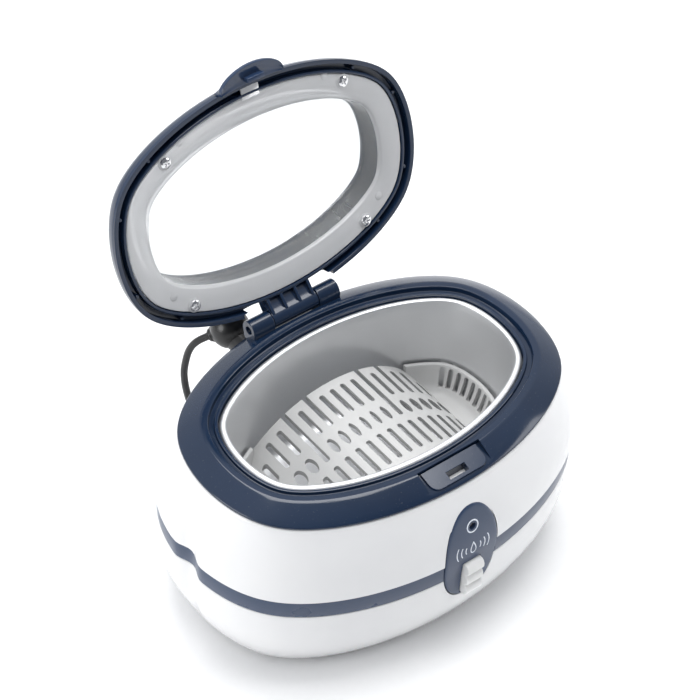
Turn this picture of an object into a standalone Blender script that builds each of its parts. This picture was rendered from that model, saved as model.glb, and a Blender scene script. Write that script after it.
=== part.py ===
"""Table-top ultrasonic cleaner with a hinged lid, a steel tank and a lift-out basket.

The body is a squashed oval shell in two halves with a coloured band between them. Every
shell follows one oval plan, moved in or out by an inset, so neighbouring shells keep an
even gap. The lid stands open on its hinge. Metres, +Z up, origin on the table under the
middle of the tank, -Y towards the control panel.
"""
import math

import bmesh
import bpy
from mathutils import Matrix, Vector

MM = 0.001
GAP = 0.3 * MM

# Oval plan of the body at its widest: half length, half width and squareness.
HALF_X = 100.0 * MM
HALF_Y = 72.0 * MM
SQUARE = -2.3 * MM

# Levels of the body.
FOOT_TOP = 2.0 * MM
FLOOR_Z = 2.3 * MM
BAND_LOW = 47.0 * MM
BAND_HIGH = 56.5 * MM
HOUSING_TOP = 93.0 * MM
WALL = 2.2 * MM

# Grip flute at each end of the body.
FLUTE_DEPTH = 3.4 * MM
FLUTE_HALF = 10.0 * MM

# Lid: its own oval plan, its rim plane when shut, and its hinge.
LID_HALF_X = 80.0 * MM
LID_HALF_Y = 54.0 * MM
LID_RIM = 100.2 * MM
HINGE_Y = 58.5 * MM
HINGE_Z = 100.5 * MM
LID_OPEN = math.radians(108.5)
KNUCKLE_R = 4.6 * MM
BARREL_HALF = 12.2 * MM
BLOCK_IN = 12.6 * MM
BLOCK_OUT = 24.0 * MM
PIN_R = 1.5 * MM
LID_SCREW_XY = (47.3 * MM, 34.6 * MM)

# Control panel on the front.
PANEL_Z = 58.0 * MM
PANEL_HALF_W = 14.4 * MM
PANEL_HALF_H = 26.0 * MM
LAMP_Z = 73.4 * MM
BUTTON_Z = 43.8 * MM
BUTTON_HALF_W = 4.6 * MM
BUTTON_HALF_H = 9.4 * MM

# Basket: an arched bridge between two end cups.
ARCH_R = 59.4 * MM
ARCH_Z = 19.3 * MM
ARCH_THICK = 2.0 * MM
ARCH_HALF_Y = 29.3 * MM
SLOT_PITCH = 5.85 * MM
SLOT_WIDTH = 2.6 * MM
BASKET_Z = 46.8 * MM

# Mains lead: its diameter, its free run in millimetres, and its coil behind the body.
CORD_D = 3.5 * MM
GLAND_AT = (-19.9 * MM, 77.5 * MM, 84.4 * MM)
CORD_ROUTE = [(-26.6, 84.3, 78.0), (-30.4, 88.6, 72.8), (-32.5, 91.4, 66.4), (-33.8, 92.6, 58.3),
              (-34.3, 93.0, 50.0), (-33.8, 91.8, 40.0), (-31.5, 90.2, 28.5), (-26.6, 88.8, 17.2),
              (-18.0, 88.0, 8.0), (-6.5, 88.2, 2.9), (6.5, 89.2, 1.9), (21.0, 90.6, 1.9),
              (34.3, 91.0, 1.9)]
COIL_AT = (62.0 * MM, 91.0 * MM)
COIL_R = 20.0 * MM
COIL_BAND = 7.3 * MM
COIL_HEIGHT = 7.3 * MM
TAIL_ROUTE = [(41.7, 111.3, 1.9), (39.9, 112.6, 2.1), (36.4, 113.4, 3.0), (31.0, 110.0, 4.8),
              (29.6, 105.0, 6.2), (27.0, 102.1, 6.6), (21.4, 102.0, 6.6)]
PLUG_AT = (8.0 * MM, 102.0 * MM, 6.6 * MM)


# ---------------------------------------------------------------- scene helpers

def clear_scene():
    """Removes every object of the open file."""
    for obj in list(bpy.data.objects):
        bpy.data.objects.remove(obj, do_unlink=True)


def new_collection(name):
    """A new collection linked to the scene."""
    collection = bpy.data.collections.new(name)
    bpy.context.scene.collection.children.link(collection)
    return collection


def material(name, colour, roughness, metallic=0.0, alpha=1.0, transmission=0.0):
    """A Principled material, made once for each name."""
    found = bpy.data.materials.get(name)
    if found:
        return found
    made = bpy.data.materials.new(name)
    made.use_nodes = True
    shader = made.node_tree.nodes["Principled BSDF"]
    shader.inputs["Base Color"].default_value = (*colour, 1.0)
    shader.inputs["Roughness"].default_value = roughness
    shader.inputs["Metallic"].default_value = metallic
    shader.inputs["Alpha"].default_value = alpha
    shader.inputs["Transmission Weight"].default_value = transmission
    made.diffuse_color = (*colour, alpha)
    return made


def mesh_object(name, bm, mat, collection, origin=(0, 0, 0), parent=None):
    """Turns a bmesh in world coordinates into an object with its origin at a point."""
    bmesh.ops.recalc_face_normals(bm, faces=bm.faces)
    bmesh.ops.translate(bm, verts=bm.verts, vec=-Vector(origin))
    mesh = bpy.data.meshes.new(name)
    bm.to_mesh(mesh)
    bm.free()
    mesh.materials.append(mat)
    mesh.shade_smooth()
    mesh.set_sharp_from_angle(angle=math.radians(35))
    obj = bpy.data.objects.new(name, mesh)
    collection.objects.link(obj)
    if parent is None:
        obj.location = origin
    else:
        obj.parent = parent
    return obj


def boolean(target, tool, operation):
    """Adds a Boolean modifier that cuts or joins a hidden tool."""
    modifier = target.modifiers.new(f"{operation.lower()}_{tool.name}", "BOOLEAN")
    modifier.operation = operation
    modifier.object = tool
    modifier.solver = "EXACT"


def tool_object(name, bm, collection, origin=(0, 0, 0), parent=None):
    """A cutter or a part to be joined, shown as wire and left out of the model."""
    obj = mesh_object(name, bm, material("tool", (0.8, 0.2, 0.2), 0.5), collection, origin, parent)
    obj.hide_render = True
    obj.display_type = "WIRE"
    return obj


# ---------------------------------------------------------------- shape helpers

def box(bm, low, high):
    """Adds a box between two corners."""
    size = [h - l for l, h in zip(low, high)]
    centre = [(h + l) / 2 for l, h in zip(low, high)]
    matrix = Matrix.Translation(centre) @ Matrix.Diagonal((*size, 1.0))
    return bmesh.ops.create_cube(bm, size=1.0, matrix=matrix)


def cylinder(bm, start, end, radius, radius_end=None, segments=16):
    """Adds a capped cylinder or cone between two points."""
    start, end = Vector(start), Vector(end)
    axis = end - start
    turn = axis.to_track_quat("Z", "Y").to_matrix().to_4x4()
    matrix = Matrix.Translation((start + end) / 2) @ turn
    bmesh.ops.create_cone(bm, cap_ends=True, segments=segments, radius1=radius,
                          radius2=radius if radius_end is None else radius_end,
                          depth=axis.length, matrix=matrix)


def prism(bm, outline, low, high, axis):
    """Adds a prism: a closed outline in the plane across an axis, from low to high."""
    def point(u, v, w):
        return {"X": (w, u, v), "Y": (u, w, v), "Z": (u, v, w)}[axis]
    near = [bm.verts.new(point(u, v, low)) for u, v in outline]
    far = [bm.verts.new(point(u, v, high)) for u, v in outline]
    bm.faces.new(near)
    bm.faces.new(reversed(far))
    for i in range(len(outline)):
        j = (i + 1) % len(outline)
        bm.faces.new((near[i], far[i], far[j], near[j]))


def plan_point(angle, inset, half_x=HALF_X, half_y=HALF_Y, square=SQUARE):
    """Point of the oval plan whose outward normal has an angle, moved in by inset."""
    span = (half_x - half_y) / 2
    reach = (half_x + half_y) / 2 - square - inset
    reach += span * math.cos(2 * angle) + square * math.cos(4 * angle)
    slope = -2 * span * math.sin(2 * angle) - 4 * square * math.sin(4 * angle)
    return (reach * math.cos(angle) - slope * math.sin(angle),
            reach * math.sin(angle) + slope * math.cos(angle))


def plain_angles(count=32):
    """Evenly turned normals."""
    return [2 * math.pi * i / count for i in range(count)]


def flute_angles(count=32, steps=6, reach=0.15):
    """Normals with extra points across the grip flute at each end."""
    coarse = [a for a in plain_angles(count) if abs(math.sin(a)) > reach * 1.02]
    fine = [reach * (2 * i / steps - 1) for i in range(steps + 1)]
    return sorted((a % (2 * math.pi)) for a in coarse + fine + [math.pi + a for a in fine])


def flute(y, z):
    """Depth of the grip flute at a place on the end wall."""
    if abs(y) >= FLUTE_HALF:
        return 0.0
    middle = (BAND_LOW + BAND_HIGH) / 2
    fade = max(0.0, 1 - ((z - middle) / (40 * MM)) ** 2)
    return FLUTE_DEPTH * fade * math.cos(math.pi * y / (2 * FLUTE_HALF)) ** 2


def body_ring(inset, z):
    """Ring of the body's plan at a level, with the flutes."""
    ring = []
    for angle in flute_angles():
        x, y = plan_point(angle, inset)
        ring.append((x - math.copysign(flute(y, z), x), y, z))
    return ring


def plain_ring(inset, z, half_x=HALF_X, half_y=HALF_Y, count=32):
    """Ring of a plan at a level, without flutes."""
    return [(*plan_point(a, inset, half_x, half_y), z) for a in plain_angles(count)]


def plan_reach(x, inset, half_x, half_y):
    """How far the plan reaches along Y at a place along X."""
    low, high = 0.0, math.pi / 2
    for _ in range(40):
        middle = (low + high) / 2
        if plan_point(middle, inset, half_x, half_y)[0] > abs(x):
            low = middle
        else:
            high = middle
    return plan_point(low, inset, half_x, half_y)[1]


def loft(rings, closed):
    """Skins rings of equal length: a closed tube of section, or a solid capped at both ends."""
    bm = bmesh.new()
    rows = [[bm.verts.new(p) for p in ring] for ring in rings]
    count = len(rows[0])
    pairs = list(zip(rows, rows[1:]))
    if closed:
        pairs.append((rows[-1], rows[0]))
    else:
        bm.faces.new(rows[0])
        bm.faces.new(reversed(rows[-1]))
    for low, high in pairs:
        for i in range(count):
            j = (i + 1) % count
            bm.faces.new((low[i], high[i], high[j], low[j]))
    return bm


def lower_inset(z):
    """Inset of the lower shell: straight under the band, then drawn in to the base."""
    drop = max(0.0, BAND_LOW - z - 14 * MM)
    return 0.5 * MM + 10.8 * MM * (drop / (28 * MM)) ** 1.8


def upper_inset(z):
    """Inset of the upper shell: upright at the band and leaning in to the top."""
    rise = max(0.0, (z - BAND_HIGH) / (HOUSING_TOP - BAND_HIGH))
    return 9.6 * MM * rise ** 1.8


def ellipse(half_u, half_v, centre_u=0.0, centre_v=0.0, power=2.0, count=24):
    """Closed superellipse outline."""
    outline = []
    for i in range(count):
        c, s = math.cos(2 * math.pi * i / count), math.sin(2 * math.pi * i / count)
        outline.append((centre_u + half_u * math.copysign(abs(c) ** (2 / power), c),
                        centre_v + half_v * math.copysign(abs(s) ** (2 / power), s)))
    return outline


# ---------------------------------------------------------------- housing

CASE_SCREW_ANGLES = [math.radians(a) for a in (40, 140, 220, 320)]
CASE_SCREW_INSET = 18.5 * MM
WHITE = ("white_plastic", (0.86, 0.87, 0.88), 0.22)
NAVY = ("navy_plastic", (0.035, 0.07, 0.14), 0.18)
SLATE = ("slate_plastic", (0.10, 0.145, 0.24), 0.35)
STEEL = ("satin_steel", (0.72, 0.73, 0.74), 0.35, 1.0)
SCREW_STEEL = ("screw_steel", (0.75, 0.75, 0.76), 0.25, 1.0)
RUBBER = ("black_rubber", (0.03, 0.03, 0.032), 0.6)
CIRCUIT = ("circuit_board", (0.05, 0.25, 0.10), 0.5)


def build_lower_housing(parts, tools):
    """Lower shell with its floor, four screw posts and four board posts."""
    levels = [FLOOR_Z, 5 * MM, 12 * MM, 20 * MM, 28 * MM, BAND_LOW - GAP / 2]
    rings = [body_ring(lower_inset(z), z) for z in levels]
    rings[0] = body_ring(lower_inset(levels[0]) + 1.2 * MM, FLOOR_Z)
    inner = [BAND_LOW - GAP / 2, 28 * MM, 12 * MM, 4.8 * MM]
    rings += [body_ring(lower_inset(z) + WALL, z) for z in inner]
    shell = mesh_object("lower_housing", loft(rings, False), material(*WHITE), parts)

    posts = bmesh.new()
    for angle in CASE_SCREW_ANGLES:
        x, y = plan_point(angle, CASE_SCREW_INSET)
        cylinder(posts, (x, y, FLOOR_Z + 0.4 * MM), (x, y, 43 * MM), 4.4 * MM)
    for x in (-36 * MM, 36 * MM):
        for y in (-21 * MM, 21 * MM):
            cylinder(posts, (x, y, 4 * MM), (x, y, 13.2 * MM), 3 * MM, segments=12)
        cylinder(posts, (x * 17 / 36, -69.4 * MM, 40 * MM), (x * 17 / 36, -58.3 * MM, 40 * MM), 2.2 * MM,
                 segments=8)
    boolean(shell, tool_object("lower_posts", posts, tools), "UNION")

    holes = bmesh.new()
    for angle in CASE_SCREW_ANGLES:
        x, y = plan_point(angle, CASE_SCREW_INSET)
        cylinder(holes, (x, y, 0), (x, y, 7 * MM), 3.5 * MM)
    boolean(shell, tool_object("screw_counterbores", holes, tools), "DIFFERENCE")
    holes = bmesh.new()
    for angle in CASE_SCREW_ANGLES:
        x, y = plan_point(angle, CASE_SCREW_INSET)
        cylinder(holes, (x, y, 6 * MM), (x, y, 46 * MM), 1.9 * MM)
    boolean(shell, tool_object("screw_holes", holes, tools), "DIFFERENCE")
    return shell


def build_band(parts):
    """Coloured band clipped between the two shells."""
    low, high = BAND_LOW + GAP / 2, BAND_HIGH - GAP / 2
    rings = [body_ring(0.5 * MM, low), body_ring(0.5 * MM, high),
             body_ring(3.0 * MM, high), body_ring(3.0 * MM, low)]
    return mesh_object("stripe_band", loft(rings, True), material(*SLATE), parts)


def build_upper_housing(parts, tools):
    """Upper shell with an inward flange for the tank and four bosses for the case screws."""
    levels = [BAND_HIGH + GAP / 2, 66 * MM, 75 * MM, 84 * MM, HOUSING_TOP]
    rings = [body_ring(upper_inset(z), z) for z in levels]
    rings.append(body_ring(24 * MM, HOUSING_TOP))
    rings.append(body_ring(24 * MM, HOUSING_TOP - 2 * MM))
    inner = [HOUSING_TOP - 2 * MM, 84 * MM, 75 * MM, BAND_HIGH + GAP / 2]
    rings += [body_ring(upper_inset(z) + WALL, z) for z in inner]
    shell = mesh_object("upper_housing", loft(rings, True), material(*WHITE), parts)

    bosses = bmesh.new()
    for angle in CASE_SCREW_ANGLES:
        x, y = plan_point(angle, CASE_SCREW_INSET)
        cylinder(bosses, (x, y, 43 * MM + GAP), (x, y, HOUSING_TOP - 1 * MM), 4.4 * MM)
    for x in (-17 * MM, 17 * MM):
        cylinder(bosses, (x, -68.7 * MM, 68 * MM), (x, -58.3 * MM, 68 * MM), 2.2 * MM, segments=8)
    boolean(shell, tool_object("upper_bosses", bosses, tools), "UNION")
    holes = bmesh.new()
    for angle in CASE_SCREW_ANGLES:
        x, y = plan_point(angle, CASE_SCREW_INSET)
        cylinder(holes, (x, y, 42 * MM), (x, y, 62 * MM), 1.9 * MM)
    boolean(shell, tool_object("boss_holes", holes, tools), "DIFFERENCE")
    return shell


def build_case_screws(parts):
    """Four screws up through the floor posts into the upper bosses."""
    for number, angle in enumerate(CASE_SCREW_ANGLES, 1):
        x, y = plan_point(angle, CASE_SCREW_INSET)
        levels = [(3.1, 4.6), (3.1, 6.7), (1.5, 6.7), (1.5, 60.0)]
        rings = [[(x + r * MM * math.cos(a), y + r * MM * math.sin(a), z * MM)
                  for a in plain_angles(12)] for r, z in levels]
        mesh_object(f"case_screw_{number}", loft(rings, False), material(*SCREW_STEEL), parts,
                    origin=(x, y, 4.6 * MM))


def build_feet(parts):
    """Four rubber feet under the floor."""
    number = 0
    for x in (-58 * MM, 58 * MM):
        for y in (-34 * MM, 34 * MM):
            number += 1
            bm = bmesh.new()
            cylinder(bm, (x, y, 0), (x, y, FOOT_TOP), 6.0 * MM, 5.4 * MM, segments=20)
            mesh_object(f"foot_{number}", bm, material(*RUBBER), parts, origin=(x, y, 0))


# ---------------------------------------------------------------- top ring and tank

def build_top_ring(parts, tools):
    """Bezel round the tank: outer slope, crest, groove, inner lip, hinge blocks and latch."""
    section = [(9.6, 93.3), (9.6, 94.3), (18.8, 99.3), (19.8, 99.8), (22.8, 99.8), (23.1, 97.5),
               (25.2, 97.5), (25.5, 98.9), (27.0, 98.9), (27.2, 95.9), (18.6, 95.9), (18.6, 93.3)]
    rings = [body_ring(i * MM, z * MM) for i, z in section]
    ring = mesh_object("top_ring", loft(rings, True), material(*NAVY), parts)

    for side, sign in (("left", -1), ("right", 1)):
        block = bmesh.new()
        outline = [(53.9 * MM, 97.6 * MM), (53.9 * MM, HINGE_Z)]
        for step in range(9):
            a = math.pi - math.pi * step / 8 - 0.25
            outline.append((HINGE_Y + KNUCKLE_R * math.cos(a), HINGE_Z + KNUCKLE_R * math.sin(a)))
        outline += [(61.8 * MM, 95.0 * MM), (61.6 * MM, 93.6 * MM), (54.4 * MM, 96.4 * MM)]
        low, high = sorted((sign * BLOCK_IN, sign * BLOCK_OUT))
        prism(block, outline, low, high, "X")
        boolean(ring, tool_object(f"hinge_block_{side}", block, tools), "UNION")

    hollow = bmesh.new()
    cylinder(hollow, (-BARREL_HALF - GAP, HINGE_Y, HINGE_Z), (BARREL_HALF + GAP, HINGE_Y, HINGE_Z),
             5.0 * MM, segments=24)
    boolean(ring, tool_object("barrel_relief", hollow, tools), "DIFFERENCE")
    bore = bmesh.new()
    cylinder(bore, (-BLOCK_OUT - 1 * MM, HINGE_Y, HINGE_Z), (BLOCK_OUT + 1 * MM, HINGE_Y, HINGE_Z),
             PIN_R + GAP)
    boolean(ring, tool_object("hinge_bore", bore, tools), "DIFFERENCE")

    recess = bmesh.new()
    side_view = [(-64.0 * MM, 94.4 * MM), (-50.2 * MM, 97.6 * MM), (-50.2 * MM, 102 * MM),
                 (-64.0 * MM, 102 * MM)]
    prism(recess, side_view, -17.0 * MM, 17.0 * MM, "X")
    boolean(ring, tool_object("latch_recess", recess, tools), "DIFFERENCE")
    slot = bmesh.new()
    box(slot, (-5.2 * MM, -58.9 * MM, 92 * MM), (5.2 * MM, -55.3 * MM, 99 * MM))
    boolean(ring, tool_object("catch_slot", slot, tools), "DIFFERENCE")
    return ring


def build_tank(parts):
    """Deep-drawn tank with a rolled rim and a flange under the top ring."""
    section = [(42.5, 46.5), (38.4, 47.5), (35.3, 51.0), (33.6, 58.0), (32.2, 80.0), (31.2, 95.0),
               (30.2, 97.8), (28.9, 98.3), (27.8, 97.6), (27.5, 94.4), (19.2, 94.4), (19.2, 93.3),
               (30.0, 93.3), (31.0, 80.0), (32.4, 58.0), (34.3, 50.3), (37.9, 46.4), (42.2, 45.4)]
    rings = [plain_ring(i * MM, z * MM) for i, z in section]
    return mesh_object("tank", loft(rings, False), material(*STEEL), parts)


def build_tank_seal(parts):
    """Silicone gasket between the tank's flange and the top ring."""
    section = [(20.0, 94.7), (20.0, 95.6), (26.4, 95.6), (26.4, 94.7)]
    rings = [plain_ring(i * MM, z * MM) for i, z in section]
    mesh_object("tank_seal", loft(rings, True), material("silicone", (0.5, 0.5, 0.5), 0.6), parts)


def build_hinge_pin(parts):
    """Steel pin through both hinge blocks and the lid's barrel."""
    bm = bmesh.new()
    cylinder(bm, (-22.4 * MM, HINGE_Y, HINGE_Z), (22.4 * MM, HINGE_Y, HINGE_Z), PIN_R)
    mesh_object("hinge_pin", bm, material(*SCREW_STEEL), parts, origin=(0, HINGE_Y, HINGE_Z))


# ---------------------------------------------------------------- works inside

def build_transducer(parts):
    """Sandwich transducer bonded under the tank: front block, ceramic disc, back plate."""
    stack = [("transducer_block", 45.1, 36.0, 17.0, 14.0, STEEL),
             ("piezo_disc", 35.7, 33.0, 13.5, 13.5, ("ceramic", (0.80, 0.77, 0.70), 0.5)),
             ("transducer_back", 32.7, 29.0, 13.0, 13.0, STEEL)]
    for name, top, low, r_top, r_low, finish in stack:
        bm = bmesh.new()
        cylinder(bm, (0, 0, low * MM), (0, 0, top * MM), r_low * MM, r_top * MM, segments=24)
        mesh_object(name, bm, material(*finish), parts, origin=(0, 0, low * MM))


def build_drive_board(parts):
    """Drive board on its posts, with transformer, capacitor and heat sink."""
    boxes = [("drive_board", (-42, -26, 13.5), (42, 26, 15.1), CIRCUIT),
             ("transformer", (-36, 2, 15.4), (-18, 20, 30), ("ferrite", (0.10, 0.10, 0.11), 0.6)),
             ("heat_sink", (20, -20, 15.4), (36, -15, 29), STEEL)]
    for name, low, high, finish in boxes:
        bm = bmesh.new()
        box(bm, [v * MM for v in low], [v * MM for v in high])
        mesh_object(name, bm, material(*finish), parts, origin=[v * MM for v in low])
    bm = bmesh.new()
    cylinder(bm, (27 * MM, 12 * MM, 15.4 * MM), (27 * MM, 12 * MM, 30 * MM), 5 * MM)
    mesh_object("filter_capacitor", bm, material("capacitor_sleeve", (0.05, 0.08, 0.2), 0.4), parts,
                origin=(27 * MM, 12 * MM, 15.4 * MM))


# ---------------------------------------------------------------- control panel

def build_panel(parts, tools, shells):
    """Oval plate on the front wall, let through both shells and the band."""
    levels = [30 * MM, 38 * MM, 47 * MM, 56.5 * MM, 66 * MM, 75 * MM, 82 * MM, 87 * MM]
    def wall(z):
        return lower_inset(z) if z < BAND_LOW else upper_inset(z)
    rings = [plain_ring(wall(z) - 0.5 * MM, z) for z in levels]
    rings += [plain_ring(wall(z) + 2.4 * MM, z) for z in reversed(levels)]
    skin = tool_object("front_skin", loft(rings, True), tools)

    plate = bmesh.new()
    prism(plate, ellipse(PANEL_HALF_W, PANEL_HALF_H, 0, PANEL_Z, 2.2), -80 * MM, -55 * MM, "Y")
    panel = mesh_object("control_panel", plate, material(*SLATE), parts)
    boolean(panel, skin, "INTERSECT")

    opening = bmesh.new()
    prism(opening, ellipse(PANEL_HALF_W + 2 * GAP, PANEL_HALF_H + 2 * GAP, 0, PANEL_Z, 2.2),
          -80 * MM, -50 * MM, "Y")
    cutter = tool_object("panel_opening", opening, tools)
    for shell in shells:
        boolean(shell, cutter, "DIFFERENCE")

    holes = bmesh.new()
    box(holes, (-BUTTON_HALF_W - GAP, -82 * MM, BUTTON_Z - BUTTON_HALF_H - GAP),
        (BUTTON_HALF_W + GAP, -50 * MM, BUTTON_Z + BUTTON_HALF_H + GAP))
    cylinder(holes, (0, -82 * MM, LAMP_Z), (0, -50 * MM, LAMP_Z), 1.9 * MM)
    boolean(panel, tool_object("panel_holes", holes, tools), "DIFFERENCE")


def build_button(parts):
    """Push button with three rounded ridges across its face and a stem behind it."""
    front, valley = -76.0 * MM, -74.4 * MM
    outline = []
    for ridge in range(3):
        for step in range(6):
            z = BUTTON_Z + BUTTON_HALF_H * (-1 + (ridge + step / 6) * 2 / 3)
            swell = math.sin(math.pi * step / 6)
            outline.append((valley + (front - valley) * swell, z))
    top, low = BUTTON_Z + BUTTON_HALF_H, BUTTON_Z - BUTTON_HALF_H
    outline += [(valley, top), (-68.5 * MM, top), (-68.5 * MM, BUTTON_Z + 2 * MM),
                (-64.6 * MM, BUTTON_Z + 2 * MM), (-64.6 * MM, BUTTON_Z - 2 * MM),
                (-68.5 * MM, BUTTON_Z - 2 * MM), (-68.5 * MM, low)]
    bm = bmesh.new()
    prism(bm, outline, -BUTTON_HALF_W, BUTTON_HALF_W, "X")
    mesh_object("power_button", bm, material(*WHITE), parts, origin=(0, valley, BUTTON_Z))


def build_control_board(parts):
    """Small upright board behind the panel, with its switch and its lamp."""
    bm = bmesh.new()
    box(bm, (-19.5 * MM, -58 * MM, 36 * MM), (19.5 * MM, -56.4 * MM, 79 * MM))
    mesh_object("control_board", bm, material(*CIRCUIT), parts, origin=(0, -57.2 * MM, 57 * MM))
    bm = bmesh.new()
    box(bm, (-3.5 * MM, -62.7 * MM, BUTTON_Z - 3.5 * MM), (3.5 * MM, -58.3 * MM, BUTTON_Z + 3.5 * MM))
    mesh_object("switch_body", bm, material("switch_plastic", (0.05, 0.05, 0.05), 0.5), parts,
                origin=(0, -60 * MM, BUTTON_Z))
    bm = bmesh.new()
    cylinder(bm, (0, -69.3 * MM, LAMP_Z), (0, -58.3 * MM, LAMP_Z), 1.5 * MM)
    mesh_object("indicator_lamp", bm, material("lamp_lens", (0.02, 0.02, 0.03), 0.1), parts,
                origin=(0, -60 * MM, LAMP_Z))


# ---------------------------------------------------------------- lid

def lid_ring(inset, rise, count=32):
    """Ring of the lid's plan at a height over its rim, in the shut place."""
    return plain_ring(inset * MM, LID_RIM + rise * MM, LID_HALF_X, LID_HALF_Y, count)


def build_lid_frame(parts, tools, axis):
    """Domed frame of the lid, with its channel, screw bosses, hinge arm and barrel."""
    section = [(0.0, 0.0), (0.0, 2.5), (1.2, 6.5), (4.5, 11.0), (9.5, 14.5), (14.5, 16.4),
               (17.6, 16.9), (17.6, 15.3), (14.2, 14.5), (10.2, 12.6), (7.0, 9.6), (6.4, 6.0),
               (6.4, 0.6), (5.0, 0.6), (5.0, 4.5), (2.2, 4.5), (2.2, 0.0)]
    hinge = (0, HINGE_Y, HINGE_Z)
    frame = mesh_object("lid_frame", loft([lid_ring(i, h) for i, h in section], True),
                        material(*NAVY), parts, origin=hinge, parent=axis)

    bosses = bmesh.new()
    for x in (-LID_SCREW_XY[0], LID_SCREW_XY[0]):
        for y in (-LID_SCREW_XY[1], LID_SCREW_XY[1]):
            cylinder(bosses, (x, y, LID_RIM + 3.1 * MM), (x, y, LID_RIM + 11.4 * MM), 3.0 * MM,
                     segments=12)
    boolean(frame, tool_object("lid_bosses", bosses, tools, hinge, axis), "UNION")

    notch = bmesh.new()
    box(notch, (-BLOCK_OUT - 0.8 * MM, 50.0 * MM, 90 * MM), (BLOCK_OUT + 0.8 * MM, 70 * MM, 112 * MM))
    boolean(frame, tool_object("hinge_notch", notch, tools, hinge, axis), "DIFFERENCE")

    arm = bmesh.new()
    outline = [(48.2 * MM, LID_RIM + 5.2 * MM), (48.2 * MM, LID_RIM + 9.0 * MM)]
    for step in range(13):
        a = math.pi / 2 - 1.42 * math.pi * step / 12
        outline.append((HINGE_Y + 4.2 * MM * math.cos(a), HINGE_Z + 4.2 * MM * math.sin(a)))
    outline.append((52.0 * MM, LID_RIM + 1.2 * MM))
    prism(arm, outline, -BARREL_HALF, BARREL_HALF, "X")
    boolean(frame, tool_object("hinge_arm", arm, tools, hinge, axis), "UNION")

    bore = bmesh.new()
    cylinder(bore, (-20 * MM, HINGE_Y, HINGE_Z), (20 * MM, HINGE_Y, HINGE_Z), PIN_R + GAP)
    for x in (-LID_SCREW_XY[0], LID_SCREW_XY[0]):
        for y in (-LID_SCREW_XY[1], LID_SCREW_XY[1]):
            cylinder(bore, (x, y, LID_RIM + 2 * MM), (x, y, LID_RIM + 10 * MM), 1.3 * MM, segments=12)
    boolean(frame, tool_object("lid_bores", bore, tools, hinge, axis), "DIFFERENCE")


def build_lid_window(parts, tools, axis):
    """Clear tray screwed into the frame: flat flange, upright wall and crowned face."""
    section = [(40.0, 16.2), (23.0, 15.2), (20.0, 13.9), (19.0, 11.0), (18.4, 3.0), (17.4, 1.2),
               (6.8, 1.2), (6.8, 2.8), (16.2, 2.8), (16.8, 4.5), (17.3, 11.5), (18.1, 15.0),
               (20.2, 16.6), (23.0, 17.1), (40.0, 18.0)]
    hinge = (0, HINGE_Y, HINGE_Z)
    clear = material("clear_plastic", (0.9, 0.92, 0.93), 0.05, 0.0, 0.35, 0.9)
    window = mesh_object("lid_window", loft([lid_ring(i, h) for i, h in section], False), clear,
                         parts, origin=hinge, parent=axis)
    holes = bmesh.new()
    for x in (-LID_SCREW_XY[0], LID_SCREW_XY[0]):
        for y in (-LID_SCREW_XY[1], LID_SCREW_XY[1]):
            cylinder(holes, (x, y, LID_RIM), (x, y, LID_RIM + 4 * MM), 1.6 * MM, segments=12)
    boolean(window, tool_object("window_holes", holes, tools, hinge, axis), "DIFFERENCE")


def build_lid_screws(parts, axis):
    """Four screws that hold the clear tray in the frame."""
    number = 0
    for x in (-LID_SCREW_XY[0], LID_SCREW_XY[0]):
        for y in (-LID_SCREW_XY[1], LID_SCREW_XY[1]):
            number += 1
            levels = [(2.0, -0.3), (2.6, 0.2), (2.6, 0.9), (1.0, 0.9), (1.0, 8.5)]
            rings = [[(x + r * MM * math.cos(a), y + r * MM * math.sin(a), LID_RIM + z * MM)
                      for a in plain_angles(12)] for r, z in levels]
            mesh_object(f"lid_screw_{number}", loft(rings, False), material(*SCREW_STEEL), parts,
                        origin=(0, HINGE_Y, HINGE_Z), parent=axis)


def build_lid_handle(parts, tools, axis):
    """Finger tab on the lid's front edge, with the catch that drops into the top ring."""
    rows = []
    steps = 12
    for step in range(steps + 1):
        x = 16.4 * MM * (-1 + 2 * step / steps)
        swell = max(0.0, 1 - (x / (16.4 * MM)) ** 2) ** 0.5
        back = -plan_reach(x, -GAP, LID_HALF_X, LID_HALF_Y)
        front = back - 1.2 * MM - 8.0 * MM * swell
        drop = 0.20 * (back - front)
        rows.append([(x, back, LID_RIM + 3.6 * MM), (x, front, LID_RIM - drop - 0.4 * MM),
                     (x, front, LID_RIM - drop - 2.8 * MM), (x, back, LID_RIM - 2.6 * MM)])
    bm = loft(rows, False)
    hinge = (0, HINGE_Y, HINGE_Z)
    tab = mesh_object("lid_handle", bm, material(*SLATE), parts, origin=hinge, parent=axis)
    hook = bmesh.new()
    box(hook, (-4.4 * MM, -58.2 * MM, 93.9 * MM), (4.4 * MM, -56.0 * MM, 98.6 * MM))
    boolean(tab, tool_object("catch_hook", hook, tools, hinge, axis), "UNION")


# ---------------------------------------------------------------- basket

def arch_outline(half_x, steps=24):
    """Side view of the arch: an even strip along a round arc, standing on the cup floors."""
    reach = math.asin(half_x / ARCH_R)
    angles = [reach * (1 - 2 * i / steps) for i in range(steps + 1)]
    outer = [(ARCH_R * math.sin(a), ARCH_Z + ARCH_R * math.cos(a)) for a in angles]
    inner = [((ARCH_R - ARCH_THICK) * math.sin(a), ARCH_Z + (ARCH_R - ARCH_THICK) * math.cos(a))
             for a in reversed(angles)]
    return outer + inner


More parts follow.
